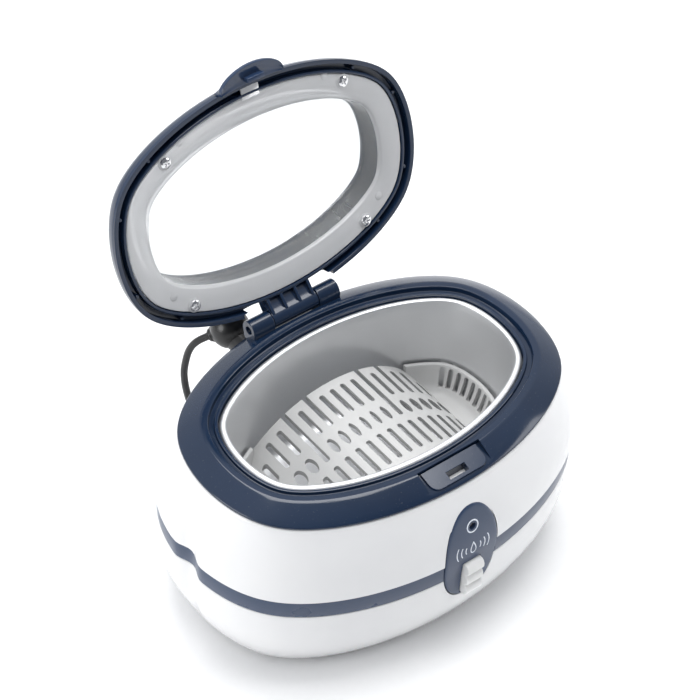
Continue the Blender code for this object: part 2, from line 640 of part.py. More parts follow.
def build_basket(parts, tools):
    """Basket: two slotted end cups joined by an arched, slotted bridge."""
    cup = [(44.0, 46.8), (39.9, 48.0), (37.0, 51.2), (35.2, 58.0), (34.4, 63.0), (36.2, 63.0),
           (37.0, 58.0), (38.8, 52.2), (41.4, 49.6), (44.0, 48.8)]
    rings = [plain_ring(i * MM, z * MM) for i, z in cup]
    basket = mesh_object("basket", loft(rings, False), material("basket_plastic", (0.8, 0.8, 0.79), 0.4),
                         parts, origin=(0, 0, BASKET_Z))
    middle = bmesh.new()
    box(middle, (-43.5 * MM, -60 * MM, 40 * MM), (43.5 * MM, 60 * MM, 70 * MM))
    boolean(basket, tool_object("cup_split", middle, tools), "DIFFERENCE")

    arch = bmesh.new()
    prism(arch, arch_outline(53.0 * MM), -ARCH_HALF_Y, ARCH_HALF_Y, "Y")
    bridge = tool_object("arch", arch, tools)
    well = [(43.2, 46.8), (39.8, 48.4), (36.9, 52.0), (35.0, 58.0), (34.4, 82.0)]
    clear_of_tank = loft([plain_ring(i * MM, z * MM) for i, z in well], False)
    boolean(bridge, tool_object("arch_trim", clear_of_tank, tools), "INTERSECT")
    boolean(basket, bridge, "UNION")

    slots = bmesh.new()
    half = SLOT_WIDTH / 2
    for column in range(16):
        x = (column - 7.5) * SLOT_PITCH
        outer_end = 24.8 * MM if abs(x) < 44 * MM else 19 * MM
        open_rear = 31 * MM if column in (3, 5, 10, 12) else outer_end
        through = column in (3, 10)
        low_z = 51.5 * MM if abs(x) > 38 * MM else 45 * MM
        if through:
            box(slots, (x - half, -4.4 * MM, low_z), (x + half, open_rear, 82 * MM))
        else:
            box(slots, (x - half, 8.6 * MM, low_z), (x + half, open_rear, 82 * MM))
            box(slots, (x - half, -4.4 * MM, low_z), (x + half, 4.4 * MM, 82 * MM))
        box(slots, (x - half, -outer_end, low_z), (x + half, -8.6 * MM, 82 * MM))
    for side in (-1, 1):
        for step in range(-3, 4):
            y = step * 6.6 * MM
            low, high = sorted((side * 54.0 * MM, side * 72 * MM))
            box(slots, (low, y - 1.6 * MM, 51.6 * MM), (high, y + 1.6 * MM, 61.0 * MM))
    boolean(basket, tool_object("basket_slots", slots, tools), "DIFFERENCE")


# ---------------------------------------------------------------- mains lead

def smooth_route(points, spacing):
    """Evenly spaced points of a Catmull-Rom curve through a route given in millimetres."""
    knots = [Vector(p) * MM for p in points]
    knots = [2 * knots[0] - knots[1]] + knots + [2 * knots[-1] - knots[-2]]
    fine = []
    for a, b, c, d in zip(knots, knots[1:], knots[2:], knots[3:]):
        for i in range(20):
            t = i / 20
            fine.append(0.5 * ((2 * b) + (c - a) * t + (2 * a - 5 * b + 4 * c - d) * t * t
                               + (3 * b - a - 3 * c + d) * t ** 3))
    fine.append(knots[-2])
    kept, walked = [fine[0]], 0.0
    for last, here in zip(fine, fine[1:]):
        walked += (here - last).length
        if walked >= spacing:
            kept.append(here)
            walked = 0.0
    kept[-1] = fine[-1]
    return kept


def build_cord_tube(name, points, parts):
    """Round lead along a route, as a bevelled curve."""
    curve = bpy.data.curves.new(name, "CURVE")
    curve.dimensions = "3D"
    curve.bevel_depth = CORD_D / 2
    curve.bevel_resolution = 2
    curve.render_resolution_u = 0
    curve.use_fill_caps = True
    spline = curve.splines.new("POLY")
    route = smooth_route(points, 2.6 * CORD_D)
    spline.points.add(len(route) - 1)
    for target, point in zip(spline.points, route):
        target.co = (*point, 1.0)
    curve.materials.append(material(*RUBBER))
    parts.objects.link(bpy.data.objects.new(name, curve))


def build_strain_relief(parts, tools):
    """Rounded gland on the rear wall and its tapered sleeve."""
    gland = bmesh.new()
    bmesh.ops.create_uvsphere(gland, u_segments=16, v_segments=10, radius=9.3 * MM,
                              matrix=Matrix.Translation(GLAND_AT))
    relief = mesh_object("strain_relief", gland, material(*RUBBER), parts, origin=GLAND_AT)
    neck = bmesh.new()
    cylinder(neck, (GLAND_AT[0], 61.5 * MM, 82.0 * MM), (GLAND_AT[0], GLAND_AT[1], 82.0 * MM), 6.0 * MM)
    boolean(relief, tool_object("gland_neck", neck, tools), "UNION")
    sleeve = bmesh.new()
    start, exit_point = Vector(GLAND_AT), Vector(CORD_ROUTE[0]) * MM
    direction = (Vector(CORD_ROUTE[0]) * MM - Vector(GLAND_AT)).normalized()
    cylinder(sleeve, start + direction * 4 * MM, exit_point - direction * 2 * GAP, 6.4 * MM, 2.6 * MM)
    boolean(relief, tool_object("gland_sleeve", sleeve, tools), "UNION")


def cut_cord_outlet(shell, tools):
    """Hole in the rear wall for the gland's neck."""
    hole = bmesh.new()
    cylinder(hole, (GLAND_AT[0], 56 * MM, 82.0 * MM), (GLAND_AT[0], 80 * MM, 82.0 * MM), 6.0 * MM + GAP)
    boolean(shell, tool_object("cord_outlet", hole, tools), "DIFFERENCE")


def build_coil(parts):
    """Outer shape of the coiled lead: a turned ring of square section."""
    low, high = 0.1 * MM, COIL_HEIGHT
    inner, outer = COIL_R - COIL_BAND, COIL_R + COIL_BAND
    rings = [[(COIL_AT[0] + r * math.cos(a), COIL_AT[1] + r * math.sin(a), z)
              for a in plain_angles(32)]
             for r, z in ((outer, low), (outer, high), (inner, high), (inner, low))]
    mesh_object("cord_coil", loft(rings, True), material(*RUBBER), parts, origin=(*COIL_AT, 0))


def build_plug(parts, tools):
    """Moulded two-pin plug lying behind the body."""
    x, y, z = PLUG_AT
    rings = []
    for along, half_y, half_z in ((12, 4.0, 4.0), (8, 5.6, 5.2), (-6, 9.0, 6.3), (-11, 9.4, 6.4)):
        rings.append([(x + along * MM, y + v * MM, z + w * MM)
                      for v, w in ellipse(half_y, half_z, power=3.0, count=16)])
    plug = mesh_object("mains_plug", loft(rings, False), material(*RUBBER), parts, origin=PLUG_AT)
    pins = bmesh.new()
    for side in (-6.3 * MM, 6.3 * MM):
        box(pins, (x - 26 * MM, y + side - 0.8 * MM, z - 3.1 * MM),
            (x - 10 * MM, y + side + 0.8 * MM, z + 3.1 * MM))
    boolean(plug, tool_object("plug_pins", pins, tools), "UNION")


def main():
    """Builds the cleaner, part by part."""
    clear_scene()
    parts = new_collection("ultrasonic_cleaner")
    tools = new_collection("cutters")
    axis = bpy.data.objects.new("lid_axis", None)
    axis.location = (0, HINGE_Y, HINGE_Z)
    axis.rotation_euler = (-LID_OPEN, 0, 0)
    parts.objects.link(axis)

    lower = build_lower_housing(parts, tools)
    band = build_band(parts)
    upper = build_upper_housing(parts, tools)
    build_case_screws(parts)
    build_feet(parts)
    build_top_ring(parts, tools)
    build_tank(parts)
    build_tank_seal(parts)
    build_hinge_pin(parts)
    build_transducer(parts)
    build_drive_board(parts)
    build_panel(parts, tools, (lower, band, upper))
    build_button(parts)
    build_control_board(parts)
    build_lid_frame(parts, tools, axis)
    build_lid_window(parts, tools, axis)
    build_lid_screws(parts, axis)
    build_lid_handle(parts, tools, axis)
    build_basket(parts, tools)
    build_strain_relief(parts, tools)
    cut_cord_outlet(upper, tools)
    build_cord_tube("power_cord", CORD_ROUTE, parts)
    build_coil(parts)
    build_cord_tube("cord_tail", TAIL_ROUTE, parts)
    build_plug(parts, tools)


if __name__ == "__main__":
    main()
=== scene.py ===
"""Looks of an oval table-top ultrasonic cleaner: shells, tank, lid, basket, panel and lead.

Every shell follows one oval plan, moved in or out by an inset, so the pieces nest with even
gaps. Lengths are in metres, +Z is up and the control panel faces -Y. The lid pieces are
drawn shut and turned open about the hinge.
"""
import logging
import math
from dataclasses import dataclass, field
from enum import Enum
from typing import Callable, Optional, Sequence

import bmesh
import bpy
from mathutils import Matrix, Vector


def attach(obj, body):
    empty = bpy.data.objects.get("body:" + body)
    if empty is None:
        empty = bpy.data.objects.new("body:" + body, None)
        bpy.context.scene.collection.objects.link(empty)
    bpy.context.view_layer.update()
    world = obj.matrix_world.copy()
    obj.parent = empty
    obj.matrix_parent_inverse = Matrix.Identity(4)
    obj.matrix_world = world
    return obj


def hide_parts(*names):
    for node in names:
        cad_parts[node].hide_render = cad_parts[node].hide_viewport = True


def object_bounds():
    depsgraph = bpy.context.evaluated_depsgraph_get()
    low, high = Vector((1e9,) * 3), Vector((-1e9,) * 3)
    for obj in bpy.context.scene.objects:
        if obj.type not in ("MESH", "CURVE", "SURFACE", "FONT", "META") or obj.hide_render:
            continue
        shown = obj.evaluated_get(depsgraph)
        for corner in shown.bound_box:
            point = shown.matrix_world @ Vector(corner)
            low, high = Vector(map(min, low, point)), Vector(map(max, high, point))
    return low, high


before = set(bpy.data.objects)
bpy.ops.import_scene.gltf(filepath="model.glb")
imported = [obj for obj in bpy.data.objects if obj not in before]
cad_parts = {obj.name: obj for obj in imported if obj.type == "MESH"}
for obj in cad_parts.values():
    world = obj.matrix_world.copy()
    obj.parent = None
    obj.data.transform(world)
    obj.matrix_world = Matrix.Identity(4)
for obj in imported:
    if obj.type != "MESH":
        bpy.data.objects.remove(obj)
CAD_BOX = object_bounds()

MM = 0.001
LOG = logging.getLogger("ultrasonic_cleaner")
Pair = tuple[float, float]
Triple = tuple[float, float, float]
Colour = tuple[float, float, float]


class Body(Enum):
    """Moving groups of the cleaner."""

    BASE = "base"
    LID = "lid"
    BUTTON = "power_button"
    BASKET = "basket"


# ------------------------------------------------------------------ shader groups


class Group(Enum):
    """Shared shader effects, each a node group."""

    MOULDED = "moulded_surface"
    DRAWN = "drawn_metal"
    DUST = "settled_dust"
    SCUFF = "fine_scuffs"


@dataclass
class Nodes:
    """Short hand for placing and joining shader nodes in one tree."""

    tree: bpy.types.NodeTree
    column: int = 0

    def add(self, kind: str, **settings: object) -> bpy.types.Node:
        """Places a node.

        Args:
            kind: Blender's name of the node type.
            settings: Attributes to set on the node.

        Returns:
            The new node.
        """
        node = self.tree.nodes.new(kind)
        node.location = (self.column * 190, 0)
        self.column += 1
        for key, value in settings.items():
            setattr(node, key, value)
        return node

    def join(self, source: bpy.types.NodeSocket, target: bpy.types.NodeSocket) -> None:
        """Links two sockets."""
        self.tree.links.new(source, target)

    def noise(self, vector: bpy.types.NodeSocket, scale: float, detail: float = 3.0,
              stretch: Optional[Triple] = None) -> bpy.types.NodeSocket:
        """Places a noise texture.

        Args:
            vector: Coordinates to sample at.
            scale: Scale of the noise.
            detail: Octaves of the noise.
            stretch: Scale of the coordinates along each axis, or None.

        Returns:
            The noise's factor.
        """
        if stretch is not None:
            mapping = self.add("ShaderNodeMapping")
            mapping.inputs["Scale"].default_value = stretch
            self.join(vector, mapping.inputs["Vector"])
            vector = mapping.outputs["Vector"]
        texture = self.add("ShaderNodeTexNoise")
        texture.inputs["Scale"].default_value = scale
        texture.inputs["Detail"].default_value = detail
        self.join(vector, texture.inputs["Vector"])
        return texture.outputs["Fac"]

    def span(self, value: bpy.types.NodeSocket, low: float, high: float, to_low: float = 0.0,
             to_high: float = 1.0) -> bpy.types.NodeSocket:
        """Maps a value from one range to another, clamped.

        Args:
            value: The value.
            low: Start of its range.
            high: End of its range.
            to_low: What the start becomes.
            to_high: What the end becomes.

        Returns:
            The mapped value.
        """
        node = self.add("ShaderNodeMapRange")
        for name, number in (("From Min", low), ("From Max", high), ("To Min", to_low), ("To Max", to_high)):
            node.inputs[name].default_value = number
        self.join(value, node.inputs["Value"])
        return node.outputs["Result"]

    def maths(self, kind: str, first: bpy.types.NodeSocket, second: object) -> bpy.types.NodeSocket:
        """Places a Math node.

        Args:
            kind: Its operation.
            first: Its first input.
            second: A socket or a number for its second input.

        Returns:
            The result.
        """
        node = self.add("ShaderNodeMath", operation=kind)
        self.join(first, node.inputs[0])
        if isinstance(second, (int, float)):
            node.inputs[1].default_value = second
        else:
            self.join(second, node.inputs[1])
        return node.outputs[0]

    def blend(self, factor: bpy.types.NodeSocket, first: object, second: object) -> bpy.types.NodeSocket:
        """Mixes two colours.

        Args:
            factor: Share of the second colour.
            first: A socket or a colour.
            second: A socket or a colour.

        Returns:
            The mixed colour.
        """
        node = self.add("ShaderNodeMix", data_type="RGBA")
        self.join(factor, node.inputs[0])
        for socket, value in ((node.inputs[6], first), (node.inputs[7], second)):
            if isinstance(value, tuple):
                socket.default_value = (*value, 1.0)
            else:
                self.join(value, socket)
        return node.outputs[2]

    def bump(self, height: bpy.types.NodeSocket, strength: float,
             distance: float) -> bpy.types.NodeSocket:
        """Turns a height into a normal.

        Args:
            height: The height, 0 to 1.
            strength: Strength of the bump.
            distance: Depth of the bump in metres.

        Returns:
            The normal.
        """
        node = self.add("ShaderNodeBump")
        node.inputs["Strength"].default_value = strength
        node.inputs["Distance"].default_value = distance
        self.join(height, node.inputs["Height"])
        return node.outputs["Normal"]


def shader_group(group: Group, inputs: Sequence[tuple[str, str, object]],
                 outputs: Sequence[tuple[str, str]],
                 fill: Callable[[Nodes, bpy.types.Node, bpy.types.Node], None]) -> bpy.types.NodeTree:
    """Makes a node group once and hands it out after that.

    Args:
        group: Which effect it is.
        inputs: Name, socket type and default of each input.
        outputs: Name and socket type of each output.
        fill: Places the nodes between the group's input and output nodes.

    Returns:
        The node group.
    """
    tree = bpy.data.node_groups.get(group.value)
    if tree is not None:
        return tree
    tree = bpy.data.node_groups.new(group.value, "ShaderNodeTree")
    for name, kind, default in inputs:
        tree.interface.new_socket(name, in_out="INPUT", socket_type=kind).default_value = default
    for name, kind in outputs:
        tree.interface.new_socket(name, in_out="OUTPUT", socket_type=kind)
    nodes = Nodes(tree)
    entry = nodes.add("NodeGroupInput")
    end = nodes.add("NodeGroupOutput")
    fill(nodes, entry, end)
    return tree


def moulded_group() -> bpy.types.NodeTree:
    """Cloudy tone, uneven gloss and a faint orange-peel of injection moulded plastic."""

    def fill(n: Nodes, entry: bpy.types.Node, end: bpy.types.Node) -> None:
        """Places the nodes."""
        where = n.add("ShaderNodeTexCoord").outputs["Object"]
        cloud = n.span(n.noise(where, 26.0), 0.35, 0.65)
        mix = n.blend(n.maths("MULTIPLY", cloud, entry.outputs["Variation"]), (1, 1, 1), (1, 1, 1))
        node = mix.node
        n.join(entry.outputs["Colour"], node.inputs[6])
        n.join(entry.outputs["Shade"], node.inputs[7])
        n.join(mix, end.inputs["Colour"])
        patch = n.span(n.noise(where, 70.0, 5.0), 0.3, 0.7, -0.5, 0.5)
        spread = n.maths("MULTIPLY", patch, entry.outputs["Gloss Spread"])
        n.join(n.maths("ADD", spread, entry.outputs["Roughness"]), end.inputs["Roughness"])
        grain = n.maths("MULTIPLY", n.noise(where, 900.0, 2.0), entry.outputs["Peel"])
        n.join(n.bump(grain, 1.0, 0.0001), end.inputs["Normal"])

    return shader_group(Group.MOULDED,
                        [("Colour", "NodeSocketColor", (0.8, 0.8, 0.8, 1)),
                         ("Shade", "NodeSocketColor", (0.7, 0.7, 0.7, 1)),
                         ("Variation", "NodeSocketFloat", 1.0), ("Roughness", "NodeSocketFloat", 0.25),
                         ("Gloss Spread", "NodeSocketFloat", 0.05), ("Peel", "NodeSocketFloat", 0.2)],
                        [("Colour", "NodeSocketColor"), ("Roughness", "NodeSocketFloat"),
                         ("Normal", "NodeSocketVector")], fill)


def drawn_group() -> bpy.types.NodeTree:
    """Fine vertical draw lines and blotchy satin of pressed steel."""

    def fill(n: Nodes, entry: bpy.types.Node, end: bpy.types.Node) -> None:
        """Places the nodes."""
        where = n.add("ShaderNodeTexCoord").outputs["Object"]
        lines = n.noise(where, 1.0, 4.0, (1400.0, 1400.0, 60.0))
        blotch = n.noise(where, 45.0, 4.0)
        tone = n.maths("MULTIPLY", n.span(blotch, 0.3, 0.7), entry.outputs["Variation"])
        mix = n.blend(tone, (1, 1, 1), (1, 1, 1))
        n.join(entry.outputs["Colour"], mix.node.inputs[6])
        n.join(entry.outputs["Shade"], mix.node.inputs[7])
        n.join(mix, end.inputs["Colour"])
        uneven = n.span(lines, 0.3, 0.7, -0.06, 0.06)
        n.join(n.maths("ADD", uneven, entry.outputs["Roughness"]), end.inputs["Roughness"])
        n.join(n.bump(n.maths("MULTIPLY", lines, entry.outputs["Depth"]), 1.0, 0.0001), end.inputs["Normal"])

    return shader_group(Group.DRAWN,
                        [("Colour", "NodeSocketColor", (0.8, 0.8, 0.8, 1)),
                         ("Shade", "NodeSocketColor", (0.7, 0.7, 0.7, 1)),
                         ("Variation", "NodeSocketFloat", 1.0), ("Roughness", "NodeSocketFloat", 0.3),
                         ("Depth", "NodeSocketFloat", 0.2)],
                        [("Colour", "NodeSocketColor"), ("Roughness", "NodeSocketFloat"),
                         ("Normal", "NodeSocketVector")], fill)


def dust_group() -> bpy.types.NodeTree:
    """Sparse specks of dust that settle on faces that look up."""

    def fill(n: Nodes, entry: bpy.types.Node, end: bpy.types.Node) -> None:
        """Places the nodes."""
        where = n.add("ShaderNodeTexCoord").outputs["Object"]
        facing = n.add("ShaderNodeSeparateXYZ")
        n.join(n.add("ShaderNodeNewGeometry").outputs["Normal"], facing.inputs[0])
        up = n.span(facing.outputs["Z"], 0.2, 0.9)
        specks = n.span(n.noise(where, 1100.0, 1.0), 0.70, 0.78)
        mask = n.maths("MULTIPLY", n.maths("MULTIPLY", specks, up), entry.outputs["Amount"])
        n.join(mask, end.inputs["Mask"])

    return shader_group(Group.DUST, [("Amount", "NodeSocketFloat", 0.3)], [("Mask", "NodeSocketFloat")], fill)


def scuff_group() -> bpy.types.NodeTree:
    """Hair-fine rub marks in two directions."""

    def fill(n: Nodes, entry: bpy.types.Node, end: bpy.types.Node) -> None:
        """Places the nodes."""
        where = n.add("ShaderNodeTexCoord").outputs["Object"]
        along = n.span(n.noise(where, 1.0, 2.0, (1800.0, 60.0, 60.0)), 0.66, 0.74)
        across = n.span(n.noise(where, 1.0, 2.0, (50.0, 60.0, 1700.0)), 0.67, 0.75)
        both = n.maths("MAXIMUM", along, across)
        n.join(n.maths("MULTIPLY", both, entry.outputs["Amount"]), end.inputs["Mask"])

    return shader_group(Group.SCUFF, [("Amount", "NodeSocketFloat", 0.3)],
                        [("Mask", "NodeSocketFloat")], fill)


# ------------------------------------------------------------------ finishes


@dataclass(frozen=True)
class Finish:
    """Base of every finish: a named Principled material made once."""

    name: str
    slot: str

    def material(self) -> bpy.types.Material:
        """The finish's material, built on first use."""
        found = bpy.data.materials.get(self.name)
        if found is not None:
            return found
        made = bpy.data.materials.new(self.name)
        made.use_nodes = True
        shader = made.node_tree.nodes["Principled BSDF"]
        self.dress(Nodes(made.node_tree, 4), shader)
        return made

    def dress(self, nodes: Nodes, shader: bpy.types.Node) -> None:
        """Places the nodes that feed the shader."""
        raise NotImplementedError

    @staticmethod
    def use(nodes: Nodes, tree: bpy.types.NodeTree, **values: object) -> bpy.types.Node:
        """Places a node group with its own values.

        Args:
            nodes: The material's nodes.
            tree: The node group.
            values: Input values, with underscores for spaces.

        Returns:
            The group node.
        """
        node = nodes.add("ShaderNodeGroup")
        node.node_tree = tree
        for key, value in values.items():
            node.inputs[key.replace("_", " ")].default_value = value
        return node


@dataclass(frozen=True)
class Moulding(Finish):
    """Injection moulded plastic, from polished to matt."""

    colour: Colour = (0.8, 0.8, 0.8)
    shade: Colour = (0.76, 0.76, 0.77)
    roughness: float = 0.25
    peel: float = 0.15
    dust: float = 0.25
    coat: float = 0.0

    def dress(self, nodes: Nodes, shader: bpy.types.Node) -> None:
        """Clouded colour with specks of dust, uneven gloss and a faint peel."""
        base = self.use(nodes, moulded_group(), Colour=(*self.colour, 1), Shade=(*self.shade, 1),
                        Roughness=self.roughness, Gloss_Spread=0.06, Peel=self.peel)
        dust = self.use(nodes, dust_group(), Amount=self.dust)
        scuff = self.use(nodes, scuff_group(), Amount=0.10)
        mixed = nodes.blend(dust.outputs["Mask"], base.outputs["Colour"], (0.62, 0.62, 0.60))
        rough = nodes.maths("ADD", base.outputs["Roughness"], scuff.outputs["Mask"])
        nodes.join(mixed, shader.inputs["Base Color"])
        nodes.join(rough, shader.inputs["Roughness"])
        nodes.join(base.outputs["Normal"], shader.inputs["Normal"])
        shader.inputs["Coat Weight"].default_value = self.coat
        shader.inputs["Coat Roughness"].default_value = 0.06


@dataclass(frozen=True)
class DrawnMetal(Finish):
    """Pressed or turned metal with fine working lines."""

    colour: Colour = (0.78, 0.78, 0.79)
    shade: Colour = (0.70, 0.71, 0.72)
    roughness: float = 0.3
    depth: float = 0.15
    metal: float = 1.0

    def dress(self, nodes: Nodes, shader: bpy.types.Node) -> None:
        """Metal with working lines in its gloss and normal."""
        base = self.use(nodes, drawn_group(), Colour=(*self.colour, 1), Shade=(*self.shade, 1),
                        Roughness=self.roughness, Depth=self.depth)
        nodes.join(base.outputs["Colour"], shader.inputs["Base Color"])
        nodes.join(base.outputs["Roughness"], shader.inputs["Roughness"])
        nodes.join(base.outputs["Normal"], shader.inputs["Normal"])
        shader.inputs["Metallic"].default_value = self.metal


@dataclass(frozen=True)
class ClearCover(Finish):
    """Clear styrene with hair-fine rub marks."""

    tint: Colour = (0.88, 0.895, 0.90)

    def dress(self, nodes: Nodes, shader: bpy.types.Node) -> None:
        """Clear plastic whose gloss breaks up along rub marks."""
        scuff = self.use(nodes, scuff_group(), Amount=0.22)
        where = nodes.add("ShaderNodeTexCoord").outputs["Object"]
        cloud = nodes.span(nodes.noise(where, 30.0), 0.3, 0.7, 0.03, 0.08)
        nodes.join(nodes.maths("ADD", scuff.outputs["Mask"], cloud), shader.inputs["Roughness"])
        mixed = nodes.blend(scuff.outputs["Mask"], self.tint, (0.86, 0.88, 0.90))
        nodes.join(mixed, shader.inputs["Base Color"])
        shader.inputs["Transmission Weight"].default_value = 0.9
        shader.inputs["IOR"].default_value = 1.45


@dataclass(frozen=True)
class Frosted(Finish):
    """Clear styrene with a milky, lightly textured face."""

    def dress(self, nodes: Nodes, shader: bpy.types.Node) -> None:
        """Half clear, half white, with a fine texture."""
        where = nodes.add("ShaderNodeTexCoord").outputs["Object"]
        cloud = nodes.noise(where, 38.0)
        nodes.join(nodes.blend(cloud, (0.78, 0.79, 0.80), (0.88, 0.88, 0.89)), shader.inputs["Base Color"])
        nodes.join(nodes.span(cloud, 0.3, 0.7, 0.10, 0.20), shader.inputs["Roughness"])
        nodes.join(nodes.bump(nodes.noise(where, 500.0), 0.25, 0.0001), shader.inputs["Normal"])
        shader.inputs["Transmission Weight"].default_value = 0.45
        shader.inputs["IOR"].default_value = 1.5


@dataclass(frozen=True)
class Print(Finish):
    """Pad-printed ink, slightly worn."""

    colour: Colour = (0.80, 0.84, 0.90)

    def dress(self, nodes: Nodes, shader: bpy.types.Node) -> None:
        """Ink that thins in places."""
        where = nodes.add("ShaderNodeTexCoord").outputs["Object"]
        thin = nodes.span(nodes.noise(where, 600.0), 0.35, 0.75)
        duller = (self.colour[0] * 0.8, self.colour[1] * 0.82, self.colour[2] * 0.86)
        nodes.join(nodes.blend(thin, self.colour, duller), shader.inputs["Base Color"])
        nodes.join(nodes.span(thin, 0.0, 1.0, 0.35, 0.5), shader.inputs["Roughness"])


@dataclass(frozen=True)
class Board(Finish):
    """Circuit board: lacquered green with lighter tracks."""

    def dress(self, nodes: Nodes, shader: bpy.types.Node) -> None:
        """Square-edged tracks under a lacquer."""
        where = nodes.add("ShaderNodeTexCoord").outputs["Object"]
        brick = nodes.add("ShaderNodeTexBrick")
        brick.inputs["Scale"].default_value = 160.0
        brick.inputs["Mortar Size"].default_value = 0.04
        nodes.join(where, brick.inputs["Vector"])
        mask = nodes.span(brick.outputs["Fac"], 0.4, 0.6)
        nodes.join(nodes.blend(mask, (0.02, 0.16, 0.06), (0.05, 0.28, 0.12)), shader.inputs["Base Color"])
        nodes.join(nodes.span(mask, 0.0, 1.0, 0.35, 0.28), shader.inputs["Roughness"])
        nodes.join(nodes.bump(mask, 0.3, 0.0001), shader.inputs["Normal"])


@dataclass(frozen=True)
class Floor(Finish):
    """Pale studio paper."""

    def dress(self, nodes: Nodes, shader: bpy.types.Node) -> None:
        """Paper with a faint tooth."""
        where = nodes.add("ShaderNodeTexCoord").outputs["Object"]
        tooth = nodes.noise(where, 300.0)
        nodes.join(nodes.blend(tooth, (0.90, 0.90, 0.90), (0.93, 0.93, 0.93)), shader.inputs["Base Color"])
        nodes.join(nodes.span(tooth, 0.3, 0.7, 0.85, 0.95), shader.inputs["Roughness"])


WHITE = Moulding("white_shell", "white_plastic", (0.80, 0.80, 0.80), (0.775, 0.775, 0.78), 0.14, 0.05, 0.03)
NAVY = Moulding("navy_gloss", "navy_plastic", (0.006, 0.016, 0.040), (0.008, 0.020, 0.048), 0.11, 0.05, 0.04)
LID_BLUE = Moulding("lid_blue", "navy_plastic", (0.008, 0.019, 0.046),
                    (0.010, 0.023, 0.054), 0.13, 0.05, 0.04)
SLATE = Moulding("slate_satin", "slate_plastic", (0.024, 0.045, 0.095),
                 (0.029, 0.051, 0.105), 0.30, 0.20, 0.04)
TAB_BLUE = Moulding("tab_blue", "slate_plastic", (0.018, 0.034, 0.075),
                    (0.022, 0.040, 0.085), 0.16, 0.05, 0.04)
BUTTON_WHITE = Moulding("button_white", "white_plastic", (0.80, 0.80, 0.79),
                        (0.77, 0.77, 0.76), 0.32, 0.2, 0.1)
BASKET_GREY = Moulding("basket_grey", "basket_plastic", (0.50, 0.50, 0.495),
                       (0.46, 0.46, 0.455), 0.45, 0.30, 0.04)
BLACK_FLEX = Moulding("black_flex", "black_rubber", (0.002, 0.002, 0.0022),
                      (0.004, 0.004, 0.0045), 0.30, 0.12, 0.03)
FOOT_RUBBER = Moulding("foot_rubber", "black_rubber", (0.022, 0.022, 0.023),
                       (0.032, 0.032, 0.033), 0.7, 0.9, 0.3)
SILICONE = Moulding("grey_silicone", "silicone", (0.42, 0.42, 0.43), (0.38, 0.38, 0.39), 0.55, 0.4, 0.2)
CERAMIC = Moulding("fired_ceramic", "ceramic", (0.74, 0.71, 0.64), (0.66, 0.63, 0.56), 0.5, 0.8, 0.2)
FERRITE = Moulding("wound_ferrite", "ferrite", (0.06, 0.06, 0.065), (0.10, 0.09, 0.08), 0.6, 0.9, 0.3)
DARK_PART = Moulding("dark_component", "dark_plastic", (0.03, 0.035, 0.05),
                     (0.045, 0.05, 0.07), 0.45, 0.4, 0.3)
LENS = Moulding("lamp_lens", "lamp_lens", (0.010, 0.012, 0.018),
                (0.018, 0.02, 0.03), 0.08, 0.0, 0.0, coat=0.6)
STEEL = DrawnMetal("satin_steel", "satin_steel", (0.93, 0.93, 0.925), (0.88, 0.88, 0.88), 0.42, 0.10, 0.45)
HEAT_SINK = DrawnMetal("pressed_aluminium", "aluminium", (0.75, 0.75, 0.76), (0.68, 0.68, 0.70), 0.4, 0.3)
SCREW = DrawnMetal("screw_steel", "screw_steel", (0.80, 0.80, 0.81), (0.66, 0.66, 0.68), 0.18, 0.1)
PIN_STEEL = DrawnMetal("pin_steel", "screw_steel", (0.62, 0.62, 0.63), (0.52, 0.52, 0.54), 0.25, 0.1)
CLEAR = ClearCover("clear_cover", "clear_plastic")
FROSTED = Frosted("milky_flange", "clear_plastic")
INK = Print("panel_print", "slate_plastic")
BOARD = Board("circuit_board", "circuit_board")


# ------------------------------------------------------------------ mesh tools


@dataclass(frozen=True)
class Plan:
    """Squashed oval plan, given by how far each outward normal's tangent lies from the middle."""

    half_x: float
    half_y: float
    square: float = -2.3 * MM

    def point(self, angle: float, inset: float) -> Pair:
        """Point whose outward normal has an angle, moved in by an inset."""
        span = (self.half_x - self.half_y) / 2
        reach = (self.half_x + self.half_y) / 2 - self.square - inset
        reach += span * math.cos(2 * angle) + self.square * math.cos(4 * angle)
        slope = -2 * span * math.sin(2 * angle) - 4 * self.square * math.sin(4 * angle)
        return (reach * math.cos(angle) - slope * math.sin(angle),
                reach * math.sin(angle) + slope * math.cos(angle))

    def reach(self, x: float, inset: float) -> float:
        """How far the plan reaches along Y at a place along X."""
        low, high = 0.0, math.pi / 2
        for _ in range(36):
            middle = (low + high) / 2
            if self.point(middle, inset)[0] > abs(x):
                low = middle
            else:
                high = middle
        return self.point(low, inset)[1]

    def ring(self, inset: float, z: float, count: int = 192) -> list[Triple]:
        """Ring of the plan at a level, with inset and level in metres."""
        return [(*self.point(2 * math.pi * i / count, inset), z) for i in range(count)]


BODY = Plan(100 * MM, 72 * MM)
LID = Plan(80 * MM, 54 * MM)
FLUTE_HALF = 10.0 * MM
FLUTE_DEPTH = 3.4 * MM
BAND_LOW, BAND_HIGH, SHELL_TOP, FLOOR_Z = 47.0 * MM, 56.5 * MM, 93.0 * MM, 2.3 * MM
HINGE = Vector((0.0, 58.5 * MM, 100.5 * MM))
LID_RIM = 100.2 * MM
OPEN = Matrix.Translation(HINGE) @ Matrix.Rotation(-math.radians(108.5), 4, "X") @ Matrix.Translation(-HINGE)


def lower_inset(z: float) -> float:
    """Inset of the lower shell's wall at a level."""
    drop = max(0.0, BAND_LOW - z - 14 * MM)
    return 0.5 * MM + 10.8 * MM * (drop / (28 * MM)) ** 1.8


def upper_inset(z: float) -> float:
    """Inset of the upper shell's wall at a level."""
    rise = max(0.0, (z - BAND_HIGH) / (SHELL_TOP - BAND_HIGH))
    return 9.6 * MM * rise ** 1.8


